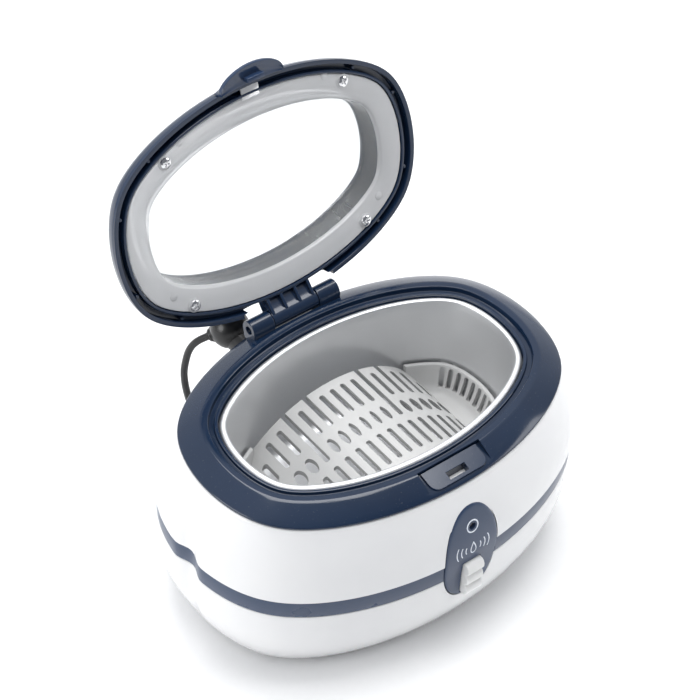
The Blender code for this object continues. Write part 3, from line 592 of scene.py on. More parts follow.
def wall_inset(z: float) -> float:
    """Inset of the wall at any level, carried across the band."""
    if z >= BAND_HIGH:
        return upper_inset(z)
    if z <= BAND_LOW:
        return lower_inset(z)
    return 0.5 * MM * (BAND_HIGH - z) / (BAND_HIGH - BAND_LOW)


def flute(y: float, z: float) -> float:
    """Depth of the grip flute at a place on the end wall."""
    if abs(y) >= FLUTE_HALF:
        return 0.0
    middle = (BAND_LOW + BAND_HIGH) / 2
    fade = max(0.0, 1 - ((z - middle) / (40 * MM)) ** 2)
    return FLUTE_DEPTH * fade * math.cos(math.pi * y / (2 * FLUTE_HALF)) ** 2


def shell_ring(inset: float, z: float, count: int = 240) -> list[Triple]:
    """Ring of a body shell at a level, with the flutes pressed in and kept to the frame's length."""
    ring, limit = [], CAD_BOX[1].x - 0.01 * MM
    for x, y, level in BODY.ring(inset, z, count):
        ring.append((math.copysign(min(abs(x) - flute(y, z), limit), x), y, level))
    return ring


def filleted(section: Sequence[Triple], steps: int = 3, closed: bool = True) -> list[Pair]:
    """Rounds the corners of a section.

    Args:
        section: Corner places and fillet radii, all in millimetres.
        steps: Segments of each rounded corner.
        closed: Whether the last corner joins the first.

    Returns:
        The outline's points in metres.
    """
    outline: list[Pair] = []
    count = len(section)
    for i, (u, v, radius) in enumerate(section):
        here = Vector((u, v)) * MM
        if radius <= 0 or (not closed and i in (0, count - 1)):
            outline.append((here.x, here.y))
            continue
        before = Vector(section[i - 1][:2]) * MM - here
        after = Vector(section[(i + 1) % count][:2]) * MM - here
        cut = min(radius * MM, before.length * 0.48, after.length * 0.48)
        start, end = here + before.normalized() * cut, here + after.normalized() * cut
        for step in range(steps + 1):
            t = step / steps
            place = start * (1 - t) ** 2 + here * 2 * t * (1 - t) + end * t * t
            outline.append((place.x, place.y))
    return outline


def smooth_line(points: Sequence[Sequence[float]], steps: int) -> list[Vector]:
    """Catmull-Rom curve through points.

    Args:
        points: Places in millimetres, in 2-D or 3-D.
        steps: Segments between neighbouring places.

    Returns:
        The curve's points in metres.
    """
    knots = [Vector(p) * MM for p in points]
    knots = [2 * knots[0] - knots[1]] + knots + [2 * knots[-1] - knots[-2]]
    line = []
    for a, b, c, d in zip(knots, knots[1:], knots[2:], knots[3:]):
        for i in range(steps):
            t = i / steps
            line.append(0.5 * ((2 * b) + (c - a) * t + (2 * a - 5 * b + 4 * c - d) * t * t
                               + (3 * b - a - 3 * c + d) * t ** 3))
    line.append(knots[-2])
    return line


def loft(rings: Sequence[Sequence[Triple]], closed: bool, bm: Optional[bmesh.types.BMesh] = None
         ) -> bmesh.types.BMesh:
    """Skins rings of equal length.

    Args:
        rings: The rings in order.
        closed: True joins the last ring to the first; False caps both ends.
        bm: A mesh to add to, or None for a new one.

    Returns:
        The mesh.
    """
    bm = bm or bmesh.new()
    rows = [[bm.verts.new(p) for p in ring] for ring in rings]
    pairs = list(zip(rows, rows[1:]))
    if closed:
        pairs.append((rows[-1], rows[0]))
    else:
        bm.faces.new(rows[0])
        bm.faces.new(list(reversed(rows[-1])))
    for low, high in pairs:
        for i in range(len(low)):
            j = (i + 1) % len(low)
            bm.faces.new((low[i], high[i], high[j], low[j]))
    return bm


def prism(outline: Sequence[Pair], low: float, high: float, axis: str,
          bm: Optional[bmesh.types.BMesh] = None) -> bmesh.types.BMesh:
    """Straight prism along an axis.

    Args:
        outline: Closed outline across the axis.
        low: Where it starts.
        high: Where it ends.
        axis: "X", "Y" or "Z".
        bm: A mesh to add to, or None for a new one.

    Returns:
        The mesh.
    """
    place = {"X": lambda u, v, w: (w, u, v), "Y": lambda u, v, w: (u, w, v),
             "Z": lambda u, v, w: (u, v, w)}[axis]
    return loft([[place(u, v, low) for u, v in outline], [place(u, v, high) for u, v in outline]], False, bm)


def spun(profile: Sequence[Pair], start: Vector, direction: Vector, count: int = 32,
         bm: Optional[bmesh.types.BMesh] = None) -> bmesh.types.BMesh:
    """Turned solid.

    Args:
        profile: Radius and distance along the axis, from one end to the other.
        start: Where the axis begins.
        direction: Which way it runs.
        count: Facets round the axis.
        bm: A mesh to add to, or None for a new one.

    Returns:
        The mesh.
    """
    turn = direction.normalized().to_track_quat("Z", "Y")
    rings = []
    for radius, along in profile:
        rings.append([tuple(start + turn @ Vector((radius * math.cos(a), radius * math.sin(a), along)))
                      for a in (2 * math.pi * i / count for i in range(count))])
    return loft(rings, False, bm)


def rounded_box(low: Sequence[float], high: Sequence[float], radius: float,
                bm: Optional[bmesh.types.BMesh] = None) -> bmesh.types.BMesh:
    """Box with every edge rounded, its corners given in millimetres."""
    made = bmesh.new()
    size = [(h - l) * MM for l, h in zip(low, high)]
    centre = [(h + l) / 2 * MM for l, h in zip(low, high)]
    bmesh.ops.create_cube(made, size=1.0, matrix=Matrix.Translation(centre) @ Matrix.Diagonal((*size, 1)))
    bmesh.ops.bevel(made, geom=made.edges[:], offset=radius * MM, segments=3, profile=0.5, affect="EDGES")
    if bm is None:
        return made
    spare = bpy.data.meshes.new("spare")
    made.to_mesh(spare)
    made.free()
    bm.from_mesh(spare)
    bpy.data.meshes.remove(spare)
    return bm


def capsule(u: float, v: float, half_width: float, half_length: float, steps: int = 6) -> list[Pair]:
    """Slot outline with round ends, its length along the second axis."""
    outline = []
    for sign, turn in ((1, 0.0), (-1, math.pi)):
        for i in range(steps + 1):
            a = turn + math.pi * i / steps
            outline.append((u + half_width * math.cos(a),
                            v + sign * (half_length - half_width) + half_width * math.sin(a)))
    return outline


def mesh_of(bm: bmesh.types.BMesh, name: str) -> bpy.types.Mesh:
    """Mesh data made from a bmesh, its normals set outward."""
    bmesh.ops.recalc_face_normals(bm, faces=bm.faces)
    mesh = bpy.data.meshes.new(name)
    bm.to_mesh(mesh)
    bm.free()
    return mesh


def carved(obj: bpy.types.Object, tool: bmesh.types.BMesh, operation: str = "DIFFERENCE") -> bpy.types.Object:
    """Cuts or joins a tool mesh into an object for good.

    Args:
        obj: The object.
        tool: The tool, in the object's own space.
        operation: Boolean operation.

    Returns:
        The same object.
    """
    cutter = bpy.data.objects.new("tool", mesh_of(tool, "tool"))
    bpy.context.scene.collection.objects.link(cutter)
    modifier = obj.modifiers.new("carve", "BOOLEAN")
    modifier.operation, modifier.solver, modifier.object = operation, "EXACT", cutter
    bpy.context.view_layer.update()
    evaluated = obj.evaluated_get(bpy.context.evaluated_depsgraph_get())
    result = bpy.data.meshes.new_from_object(evaluated)
    obj.modifiers.clear()
    old, obj.data = obj.data, result
    bpy.data.meshes.remove(old)
    spare = cutter.data
    bpy.data.objects.remove(cutter)
    bpy.data.meshes.remove(spare)
    return obj


def draft(name: str, bm: bmesh.types.BMesh) -> bpy.types.Object:
    """Object made from a bmesh, linked to the scene and not yet dressed."""
    obj = bpy.data.objects.new(name, mesh_of(bm, name))
    bpy.context.scene.collection.objects.link(obj)
    return obj


def dressed(obj: bpy.types.Object, finish: Finish, body: Body, stands_for: Sequence[str] = (),
            sharp: float = 32.0, bevel: float = 0.0) -> bpy.types.Object:
    """Gives an object its finish and shading and ties it to its body.

    Args:
        obj: The object.
        finish: Its finish.
        body: The body that carries it.
        stands_for: Names of the frame's nodes that it replaces.
        sharp: Edges sharper than this angle, in degrees, stay crisp.
        bevel: Width of a live edge bevel in metres, or 0.

    Returns:
        The same object.
    """
    obj.data.materials.clear()
    obj.data.materials.append(finish.material())
    obj.data.shade_smooth()
    if bevel > 0:
        modifier = obj.modifiers.new("edges", "BEVEL")
        modifier.width, modifier.segments, modifier.limit_method = bevel, 3, "ANGLE"
        modifier.angle_limit = math.radians(sharp)
        modifier.harden_normals = True
    else:
        obj.data.set_sharp_from_angle(angle=math.radians(sharp))
    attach(obj, body.value)
    if stands_for:
        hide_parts(*stands_for)
    LOG.info("%s: %d faces, %s", obj.name, len(obj.data.polygons), finish.name)
    return obj


def opened(bm: bmesh.types.BMesh) -> bmesh.types.BMesh:
    """Turns a lid piece drawn shut to its open place."""
    bm.transform(OPEN)
    return bm


# ------------------------------------------------------------------ body shells


@dataclass
class Shells:
    """Lower and upper shell, the band between them, feet and case screws."""

    wall: float = 2.2 * MM
    screw_turns: tuple[float, ...] = (40, 140, 220, 320)
    screw_inset: float = 18.5 * MM
    panel_gap: float = 0.45

    def build(self) -> None:
        """Builds and dresses every piece."""
        lower = self.lower()
        upper = self.upper()
        band = self.band()
        for obj in (lower, upper, band):
            carved(obj, prism(panel_outline(self.panel_gap), -80 * MM, -68.6 * MM, "Y"))
        outlet = spun([(6.3 * MM, 0.0), (6.3 * MM, 24 * MM)], Vector((-19.9 * MM, 56 * MM, 82 * MM)),
                      Vector((0, 1, 0)))
        carved(upper, outlet)
        dressed(lower, WHITE, Body.BASE, ["lower_housing"], 30)
        dressed(upper, WHITE, Body.BASE, ["upper_housing"], 30)
        dressed(band, SLATE, Body.BASE, ["stripe_band"], 30)
        self.feet()
        self.screws()

    def lower(self) -> bpy.types.Object:
        """Lower shell with rounded base edge, recessed floor, shallow vent slots and counterbores."""
        rings = [shell_ring(24 * MM, FLOOR_Z + 0.8 * MM), shell_ring(20.0 * MM, FLOOR_Z + 0.8 * MM),
                 shell_ring(19.4 * MM, FLOOR_Z), shell_ring(lower_inset(FLOOR_Z) + 3.2 * MM, FLOOR_Z),
                 shell_ring(lower_inset(FLOOR_Z) + 1.4 * MM, FLOOR_Z + 0.3 * MM)]
        levels = [3.4, 5, 7.5, 10, 13, 16, 19, 22, 26, 30, 34, 40, 46.3]
        rings += [shell_ring(lower_inset(z * MM), z * MM) for z in levels]
        rings += [shell_ring(0.62 * MM, 46.65 * MM), shell_ring(0.9 * MM, 46.85 * MM),
                  shell_ring(2.7 * MM, 46.85 * MM)]
        rings += [shell_ring(lower_inset(z * MM) + self.wall, z * MM) for z in (40, 30, 20, 12, 6)]
        shell = draft("lower_shell", loft(rings, False))
        cuts = bmesh.new()
        for turn in self.screw_turns:
            x, y = BODY.point(math.radians(turn), self.screw_inset)
            spun([(3.6 * MM, 0.0), (3.6 * MM, 4.6 * MM)], Vector((x, y, 0.001)), Vector((0, 0, 1)), 24, cuts)
        for i in range(-4, 5):
            prism(capsule(i * 6 * MM, 0, 1.1 * MM, 11 * MM), 0, 4.4 * MM, "Z", cuts)
        return carved(shell, cuts)

    def upper(self) -> bpy.types.Object:
        """Upper shell leaning in to a rounded top edge."""
        rings = [shell_ring(0.9 * MM, 56.65 * MM), shell_ring(0.2 * MM, 56.7 * MM),
                 shell_ring(0.0, 57.0 * MM)]
        for i in range(1, 22):
            z = 57.0 * MM + (92.5 - 57.0) * MM * i / 21
            rings.append(shell_ring(upper_inset(z), z))
        rings += [shell_ring(9.75 * MM, 92.85 * MM), shell_ring(10.1 * MM, SHELL_TOP),
                  shell_ring(24 * MM, SHELL_TOP), shell_ring(24 * MM, 91 * MM)]
        rings += [shell_ring(upper_inset(z * MM) + self.wall, z * MM) for z in (91, 84, 75, 66, 56.65)]
        return draft("upper_shell", loft(rings, True))

    def band(self) -> bpy.types.Object:
        """Coloured band, a little recessed between the shells."""
        section = filleted([(0.5, 47.15, 0.3), (0.42, 51.8, 0), (0.5, 56.35, 0.3), (3.0, 56.35, 0),
                            (3.0, 47.15, 0)])
        return draft("colour_band", loft([shell_ring(i, z) for i, z in section], True))

    def feet(self) -> None:
        """Four round rubber feet with a dished sole."""
        number = 0
        for x in (-58, 58):
            for y in (-34, 34):
                number += 1
                profile = [(3.4, 0.35), (3.9, 0.05), (4.6, 0.0), (5.5, 0.05), (5.95, 0.4), (6.0, 1.2),
                           (5.8, 2.2)]
                bm = spun([(r * MM, z * MM) for r, z in profile], Vector((x * MM, y * MM, 0)),
                          Vector((0, 0, 1)))
                dressed(draft(f"rubber_foot_{number}", bm), FOOT_RUBBER, Body.BASE, [f"foot_{number}"])

    def screws(self) -> None:
        """Case screws deep in their counterbores."""
        for number, turn in enumerate(self.screw_turns, 1):
            x, y = BODY.point(math.radians(turn), self.screw_inset)
            head = Screw(Vector((x, y, 4.6 * MM)), Vector((0, 0, 1)), 3.1, 55.0, 1.5, math.radians(turn))
            dressed(head.build(f"body_screw_{number}"), SCREW, Body.BASE, [f"case_screw_{number}"])


@dataclass
class Screw:
    """Cross-head screw, its axis running from the head into the work."""

    place: Vector
    axis: Vector
    head: float
    length: float
    shank: float
    turn: float = 0.3

    def build(self, name: str) -> bpy.types.Object:
        """The screw, with a domed head and a cross recess."""
        r = self.head
        profile = [(0.35 * r, 0.0), (0.75 * r, 0.12), (0.94 * r, 0.40), (r, 0.85), (r, 1.25),
                   (self.shank, 1.3), (self.shank, self.length)]
        screw = draft(name, spun([(a * MM, b * MM) for a, b in profile], self.place, self.axis, 28))
        cross = bmesh.new()
        aim = self.axis.normalized().to_track_quat("Z", "Y").to_matrix().to_4x4()
        facing = Matrix.Translation(self.place) @ aim
        for half in (0.0, math.pi / 2):
            size = Matrix.Diagonal((1.25 * r * MM, 0.26 * r * MM, 1.5 * MM, 1))
            turned = facing @ Matrix.Rotation(self.turn + half, 4, "Z")
            bmesh.ops.create_cube(cross, size=1.0, matrix=turned @ size)
        bridge = draft("cross", cross)
        bridge.modifiers.new("weld", "REMESH")
        bridge.modifiers["weld"].mode, bridge.modifiers["weld"].voxel_size = "VOXEL", 0.09 * MM
        bpy.context.view_layer.update()
        whole = bmesh.new()
        whole.from_mesh(bpy.data.meshes.new_from_object(
            bridge.evaluated_get(bpy.context.evaluated_depsgraph_get())))
        bpy.data.objects.remove(bridge)
        return carved(screw, whole)


# ------------------------------------------------------------------ bezel and tank


@dataclass
class Bezel:
    """Top ring round the tank with the hinge blocks and the latch seat."""

    block_in: float = 12.6
    block_out: float = 24.0
    seat_half: float = 17.0

    def build(self) -> None:
        """Builds and dresses every piece."""
        section = filleted([(9.6, 93.3, 0.2), (9.6, 94.3, 0.5), (14.3, 97.15, 3.0), (18.9, 99.45, 0.7),
                            (19.8, 99.8, 0.5), (22.7, 99.8, 0.5), (23.1, 97.5, 0.2), (25.2, 97.5, 0.2),
                            (25.5, 98.9, 0.4), (27.0, 98.9, 0.4), (27.2, 95.9, 0), (18.6, 95.9, 0),
                            (18.6, 93.3, 0)])
        ring = draft("bezel", loft([shell_ring(i, z) for i, z in section], True))
        seat = prism([(-64 * MM, 94.4 * MM), (-50.2 * MM, 97.6 * MM), (-50.2 * MM, 102 * MM),
                      (-64 * MM, 102 * MM)], -self.seat_half * MM, self.seat_half * MM, "X")
        carved(ring, seat)
        carved(ring, rounded_box((-5.2, -58.9, 92), (5.2, -55.3, 99), 0.3))
        barrel = spun([(5.0 * MM, 0), (5.0 * MM, 25 * MM)], HINGE - Vector((12.5 * MM, 0, 0)),
                      Vector((1, 0, 0)))
        carved(ring, barrel)
        dressed(ring, NAVY, Body.BASE, ["top_ring"], 26)
        for side in (-1, 1):
            self.block(side)
        self.tongue()
        self.pin()

    def block(self, side: int) -> None:
        """One hinge block: a rounded knuckle on a gusset, with the pin's bore showing."""
        outline = [(53.6, 97.4), (53.6, 100.6)]
        for step in range(13):
            a = math.pi - math.pi * step / 12 - 0.2
            outline.append((HINGE.y / MM + 4.6 * math.cos(a), HINGE.z / MM + 4.6 * math.sin(a)))
        outline += [(62.6, 98.0), (61.9, 95.4), (61.2, 94.0), (57.0, 95.6)]
        low, high = sorted((side * self.block_in * MM, side * self.block_out * MM))
        block = draft("hinge_block_right" if side > 0 else "hinge_block_left",
                      prism([(u * MM, v * MM) for u, v in outline], low, high, "X"))
        mouth = HINGE + Vector((side * (self.block_out + 1) * MM, 0, 0))
        carved(block, spun([(1.9 * MM, 0), (1.9 * MM, 16 * MM)], mouth, Vector((-side, 0, 0)), 24))
        dressed(block, NAVY, Body.BASE, (), 34, 0.45 * MM)

    def tongue(self) -> None:
        """Sunk plate of the latch seat, a groove left round it, with the catch slot."""
        half, front, back = 15.1, -60.6, -50.6

        def level(y: float) -> float:
            """Height of the seat's floor at a place along Y."""
            return 94.4 + (y + 64.0) * 3.2 / 13.8

        corners = filleted([(-half, back, 0.2), (-half, front, 5.0), (half, front, 5.0),
                            (half, back, 0.2)], 6)
        plate = draft("latch_plate", loft([[(x, y, (level(y / MM) + lift) * MM) for x, y in corners]
                                           for lift in (-0.2, 1.0)], False))
        carved(plate, rounded_box((-5.2, -58.9, 92), (5.2, -55.3, 99.5), 0.3))
        dressed(plate, LID_BLUE, Body.BASE, (), 34, 0.22 * MM)

    def pin(self) -> None:
        """Hinge pin with chamfered ends."""
        profile = [(1.0, 0.0), (1.5, 0.5), (1.5, 44.3), (1.0, 44.8)]
        bm = spun([(r * MM, a * MM) for r, a in profile], HINGE - Vector((22.4 * MM, 0, 0)),
                  Vector((1, 0, 0)), 24)
        dressed(draft("hinge_rod", bm), PIN_STEEL, Body.BASE, ["hinge_pin"])


@dataclass
class Tank:
    """Deep-drawn steel tank with a rolled rim."""

    count: int = 192

    def build(self) -> None:
        """Builds and dresses the tank."""
        inside = smooth_line([(44.5, 46.5), (40.5, 46.9), (37.2, 48.5), (35.3, 51.4), (34.0, 56), (33.2, 64),
                              (32.2, 80), (31.3, 93), (30.9, 96)], 4)
        rim = filleted([(30.9, 96, 0), (30.4, 98.2, 0.6), (28.7, 98.3, 0.7), (27.6, 97.4, 0.5),
                        (27.5, 94.4, 0.3), (19.2, 94.4, 0), (19.2, 93.4, 0)], 4, False)
        outside = [(30.0, 93.4), (31.0, 80), (32.4, 58), (34.3, 50.3), (37.9, 46.4), (42.2, 45.4)]
        section = [(p.x, p.y) for p in inside] + rim[1:] + [(i * MM, z * MM) for i, z in outside]
        tank = draft("steel_tank", loft([BODY.ring(i, z, self.count) for i, z in section], False))
        dressed(tank, STEEL, Body.BASE, ["tank"], 50)


# ------------------------------------------------------------------ control panel


def panel_outline(grow: float, count: int = 72) -> list[Pair]:
    """Egg-shaped outline of the control panel, blunt at its foot.

    Args:
        grow: How far the outline is moved out, in millimetres.
        count: Number of points.

    Returns:
        Points across X and Z in metres.
    """
    outline = []
    for i in range(count):
        a = 2 * math.pi * i / count
        power = 2.1 if math.sin(a) > 0 else 2.55
        u = math.copysign(abs(math.cos(a)) ** (2 / power), math.cos(a))
        v = math.copysign(abs(math.sin(a)) ** (2 / power), math.sin(a))
        outline.append(((14.4 + grow) * u * MM, (58.0 + (26.0 + grow) * v) * MM))
    return outline


def front_wall(x: float, z: float, proud: float) -> float:
    """Y of the front wall at a place, raised by some millimetres."""
    return -BODY.reach(x, wall_inset(z) - proud * MM)


@dataclass
class Panel:
    """Control panel with its prints, lamp and push button."""

    lamp_z: float = 73.4
    button_z: float = 43.8
    button_half: Pair = (4.6, 9.4)

    def build(self) -> None:
        """Builds and dresses every piece."""
        self.plate()
        self.prints()
        self.lamp()
        self.button()

    def plate(self) -> None:
        """Panel plate that follows the wall, with a rolled edge."""
        outline = panel_outline(0.0)
        shares = [(0.02, 0.5), (0.3, 0.5), (0.55, 0.5), (0.75, 0.5), (0.88, 0.5), (0.945, 0.48), (0.97, 0.38),
                  (0.988, 0.18), (0.998, -0.12), (1.0, -0.5), (1.0, -2.3)]
        rings = []
        for share, proud in shares:
            ring = []
            for x, z in outline:
                px, pz = x * share, 58 * MM + (z - 58 * MM) * share
                ring.append((px, front_wall(px, pz, proud), pz))
            rings.append(ring)
        for share in (0.5, 0.05):
            rings.append([(x * share, front_wall(x * share, 58 * MM + (z - 58 * MM) * share, -2.3),
                           58 * MM + (z - 58 * MM) * share) for x, z in outline])
        plate = draft("panel_plate", loft(rings, False))
        wide, high = self.button_half
        carved(plate, rounded_box((-wide - 0.45, -82, self.button_z - high - 0.45),
                                  (wide + 0.45, -60, self.button_z + high + 0.45), 0.5))
        carved(plate, spun([(1.75 * MM, 0), (1.75 * MM, 20 * MM)], Vector((0, -80 * MM, self.lamp_z * MM)),
                           Vector((0, 1, 0)), 28))
        dressed(plate, SLATE, Body.BASE, ["control_panel"], 28)

    def ribbon(self, bm: bmesh.types.BMesh, points: Sequence[Pair], width: float, closed: bool) -> None:
        """Adds a printed stroke that lies on the plate.

        Args:
            bm: The mesh to add to.
            points: The stroke's middle line across X and Z, in millimetres.
            width: Its width in millimetres.
            closed: Whether it is a loop.
        """
        count = len(points)
        rows = []
        for i, (x, z) in enumerate(points):
            last = points[i - 1] if (i or closed) else points[0]
            after = points[(i + 1) % count] if (i < count - 1 or closed) else points[-1]
            along = Vector((after[0] - last[0], after[1] - last[1])).normalized()
            across = Vector((-along.y, along.x)) * width / 2
            row = []
            for side, proud in ((-1, 0.50), (-1, 0.55), (1, 0.55), (1, 0.50)):
                px, pz = (x + side * across.x) * MM, (z + side * across.y) * MM
                row.append((px, front_wall(px, pz, proud), pz))
            rows.append(row)
        loft(rows, closed, bm)

    def prints(self) -> None:
        """Printed ring round the lamp and a droplet between sound waves."""
        bm = bmesh.new()
        circle = [(2.95 * math.cos(a), self.lamp_z + 2.95 * math.sin(a))
                  for a in (2 * math.pi * i / 40 for i in range(40))]
        self.ribbon(bm, circle, 0.62, True)
        drop = []
        for i in range(36):
            a = 2 * math.pi * i / 36
            drop.append((2.0 * math.sin(a) * math.sin(a / 2) ** 1.4, 61.6 + 3.1 * math.cos(a)))
        self.ribbon(bm, drop, 0.5, True)
        for side in (-1, 1):
            for reach in (4.6, 7.0, 9.4):
                arc = [(side * (reach * math.cos(t) - 0.4), 61.2 + reach * math.sin(t) * 0.9)
                       for t in (math.radians(-26 + 52 * i / 10) for i in range(11))]
                self.ribbon(bm, arc, 0.5, False)
        dressed(draft("panel_marks", bm), INK, Body.BASE)

    def lamp(self) -> None:
        """Small domed lamp lens behind the panel's hole."""
        profile = [(0.5, 0.0), (1.0, 0.15), (1.4, 0.6), (1.5, 1.2), (1.5, 11.0)]
        bm = spun([(r * MM, a * MM) for r, a in profile], Vector((0, -69.3 * MM, self.lamp_z * MM)),
                  Vector((0, 1, 0)), 24)
        dressed(draft("lamp_dome", bm), LENS, Body.BASE, ["indicator_lamp"])

    def button(self) -> None:
        """Push button with three rounded ridges and soft ends."""
        wide, high = self.button_half
        valley, crest = -74.1, -76.0
        outline = []
        steps = 10
        for ridge in range(3):
            for step in range(steps + (ridge == 2)):
                z = self.button_z + high * (-1 + (ridge + step / steps) * 2 / 3)
                swell = math.sin(math.pi * step / steps) ** 0.6
                outline.append(((valley + (crest - valley) * swell) * MM, z * MM))
        outline += [(-68.5 * MM, (self.button_z + high) * MM), (-68.5 * MM, (self.button_z - high) * MM)]
        cap = draft("button_cap", prism(outline, -wide * MM, wide * MM, "X"))
        dressed(cap, BUTTON_WHITE, Body.BUTTON, ["power_button"], 40, 0.5 * MM)
        stem = rounded_box((-2.2, -68.6, self.button_z - 2.2), (2.2, -64.6, self.button_z + 2.2), 0.3)
        dressed(draft("button_stem", stem), BUTTON_WHITE, Body.BUTTON)


# ------------------------------------------------------------------ lid


@dataclass
class Lid:
    """Lid frame with its clear tray, screws, tab, hinge arm and moulding marks."""

    screw_at: Pair = (47.3, 34.6)
    count: int = 192

    def ring(self, inset: float, rise: float) -> list[Triple]:
        """Ring of the shut lid at an inset and a rise over its rim, in metres."""
        return LID.ring(inset, LID_RIM + rise, self.count)

    def build(self) -> None:
        """Builds and dresses every piece."""
        self.frame()
        self.window()
        self.screws()
        self.tab()
        self.marks()

    def corners(self) -> list[Pair]:
        """The four screw places in millimetres."""
        x, y = self.screw_at
        return [(-x, -y), (-x, y), (x, -y), (x, y)]

    def frame(self) -> None:
        """Domed frame with its channel and inner lip, notched for the hinge."""
        dome = smooth_line([(0.0, 0.6), (0.1, 2.6), (1.2, 6.5), (4.5, 11.0), (9.5, 14.5), (14.5, 16.4),
                            (17.2, 16.85)], 5)
        under = filleted([(17.6, 16.9, 0.3), (17.6, 15.3, 0.3), (14.2, 14.5, 0), (10.2, 12.6, 0),
                          (7.0, 9.6, 0), (6.4, 6.0, 0.5), (6.4, 0.6, 0.35), (5.0, 0.6, 0.35),
                          (5.0, 4.5, 0.4), (2.2, 4.5, 0.4), (2.2, 0.0, 0.4), (0.0, 0.0, 0.5)], 3, False)
        section = [(p.x, p.y) for p in dome] + under
        shell = draft("lid_shell", loft([self.ring(i, h) for i, h in section], True))
        carved(shell, rounded_box((-24.8, 50.0, 90), (24.8, 72, 112), 0.6))
        outline = [(48.2, 105.4), (48.2, 109.2)]
        for step in range(17):
            a = math.pi / 2 - 1.42 * math.pi * step / 16
            outline.append((HINGE.y / MM + 4.2 * math.cos(a), HINGE.z / MM + 4.2 * math.sin(a)))
        outline.append((52.0, 101.4))
        arm = prism([(u * MM, v * MM) for u, v in outline], -12.2 * MM, 12.2 * MM, "X")
        carved(shell, arm, "UNION")
        bore = spun([(1.8 * MM, 0), (1.8 * MM, 40 * MM)], HINGE - Vector((20 * MM, 0, 0)),
                    Vector((1, 0, 0)), 24)
        carved(shell, bore)
        shell.data.transform(OPEN)
        dressed(shell, LID_BLUE, Body.LID, ["lid_frame"], 30)
        ribs = bmesh.new()
        for x in (-11.0, -3.8, 3.8, 11.0):
            prism([(u * MM, v * MM) for u, v in ((48.6, 100.9), (48.6, 106.0), (54.6, 104.6), (55.2, 97.6))],
                  (x - 0.7) * MM, (x + 0.7) * MM, "X", ribs)
        dressed(draft("hinge_ribs", opened(ribs)), LID_BLUE, Body.LID, (), 34, 0.2 * MM)

    def window(self) -> None:
        """Clear tray: flat flange, upright wall and crowned face."""
        section = [(22.4, 15.0), (20.3, 13.8), (19.2, 11.4), (18.7, 7.0), (18.4, 3.2), (18.0, 1.8),
                   (17.2, 1.2), (7.1, 1.2), (6.8, 1.5), (6.8, 2.6), (7.0, 2.8), (15.8, 2.8), (16.6, 3.4),
                   (16.9, 5.0), (17.2, 9.5), (17.5, 12.4), (18.2, 14.9), (19.6, 16.4), (21.8, 16.8)]
        rings = [self.crown(share, 15.0, 1.3) for share in (0.03, 0.25, 0.5, 0.72, 0.88)]
        rings += [self.ring(i * MM, h * MM) for i, h in section]
        rings += [self.crown(share, 16.8, 1.3) for share in (0.88, 0.72, 0.5, 0.25, 0.03)]
        tray = draft("clear_tray", loft(rings, False))
        holes = bmesh.new()
        for x, y in self.corners():
            spun([(1.5 * MM, 0), (1.5 * MM, 4 * MM)], Vector((x * MM, y * MM, LID_RIM)),
                 Vector((0, 0, 1)), 16, holes)
        carved(tray, holes)
        flange = [max(tray.data.vertices[i].co.z for i in face.vertices) < LID_RIM + 3.3 * MM
                  for face in tray.data.polygons]
        tray.data.transform(OPEN)
        dressed(tray, CLEAR, Body.LID, ["lid_window"], 40)
        tray.data.materials.append(FROSTED.material())
        for face, flat in zip(tray.data.polygons, flange):
            face.material_index = int(flat)

    def crown(self, share: float, rise: float, height: float) -> list[Triple]:
        """Ring of the tray's gently crowned face.

        Args:
            share: Size of the ring against the face's edge.
            rise: Rise of the face's edge over the rim, in millimetres.
            height: How much higher the middle is, in millimetres.

        Returns:
            The ring's points.
        """
        level = LID_RIM + (rise + height * (1 - share ** 2)) * MM
        return [(x * share, y * share, level) for x, y, _ in self.ring(22.0 * MM, 0.0)]

    def screws(self) -> None:
        """Cross-head screws on the tray's flange."""
        turn = OPEN.to_3x3()
        for number, (x, y) in enumerate(self.corners(), 1):
            place = OPEN @ Vector((x * MM, y * MM, LID_RIM - 0.3 * MM))
            screw = Screw(place, turn @ Vector((0, 0, 1)), 2.6, 8.6, 1.0, 0.4 * number)
            dressed(screw.build(f"tray_screw_{number}"), SCREW, Body.LID, [f"lid_screw_{number}"])

    def tab(self) -> None:
        """Finger tab on the lid's front edge with a scooped face and the catch under it."""
        half, rows, steps = 16.4, [], 40
        for step in range(steps + 1):
            t = -1 + 2 * step / steps
            x = half * math.sin(t * math.pi / 2)
            swell = max(0.0, 1 - (x / half) ** 2) ** 0.5
            back = LID.reach(x * MM, -0.3 * MM) / MM
            deep = 1.2 + 8.0 * swell
            front, drop = back + deep, 0.2 * deep
            top, low = 100.2 - drop - 0.4, 100.2 - drop - 2.8
            section = filleted([(-back, 103.8, 0.4), (-back - 0.30 * deep, 102.6 - 0.3 * drop, 1.2),
                                (-front + 0.22 * deep, top + 0.35, 0.8), (-front, top, 0.8),
                                (-front, low, 0.8),
                                (-back - 0.3 * deep, 98.0 - 0.2 * drop, 1.2), (-back, 97.6, 0.3)], 3)
            rows.append([(x * MM, u, v) for u, v in section])
        tab = draft("finger_tab", loft(rows, False))
        carved(tab, rounded_box((-4.4, -58.2, 93.9), (4.4, -56.0, 98.8), 0.3), "UNION")
        tab.data.transform(OPEN)
        dressed(tab, TAB_BLUE, Body.LID, ["lid_handle"], 30)

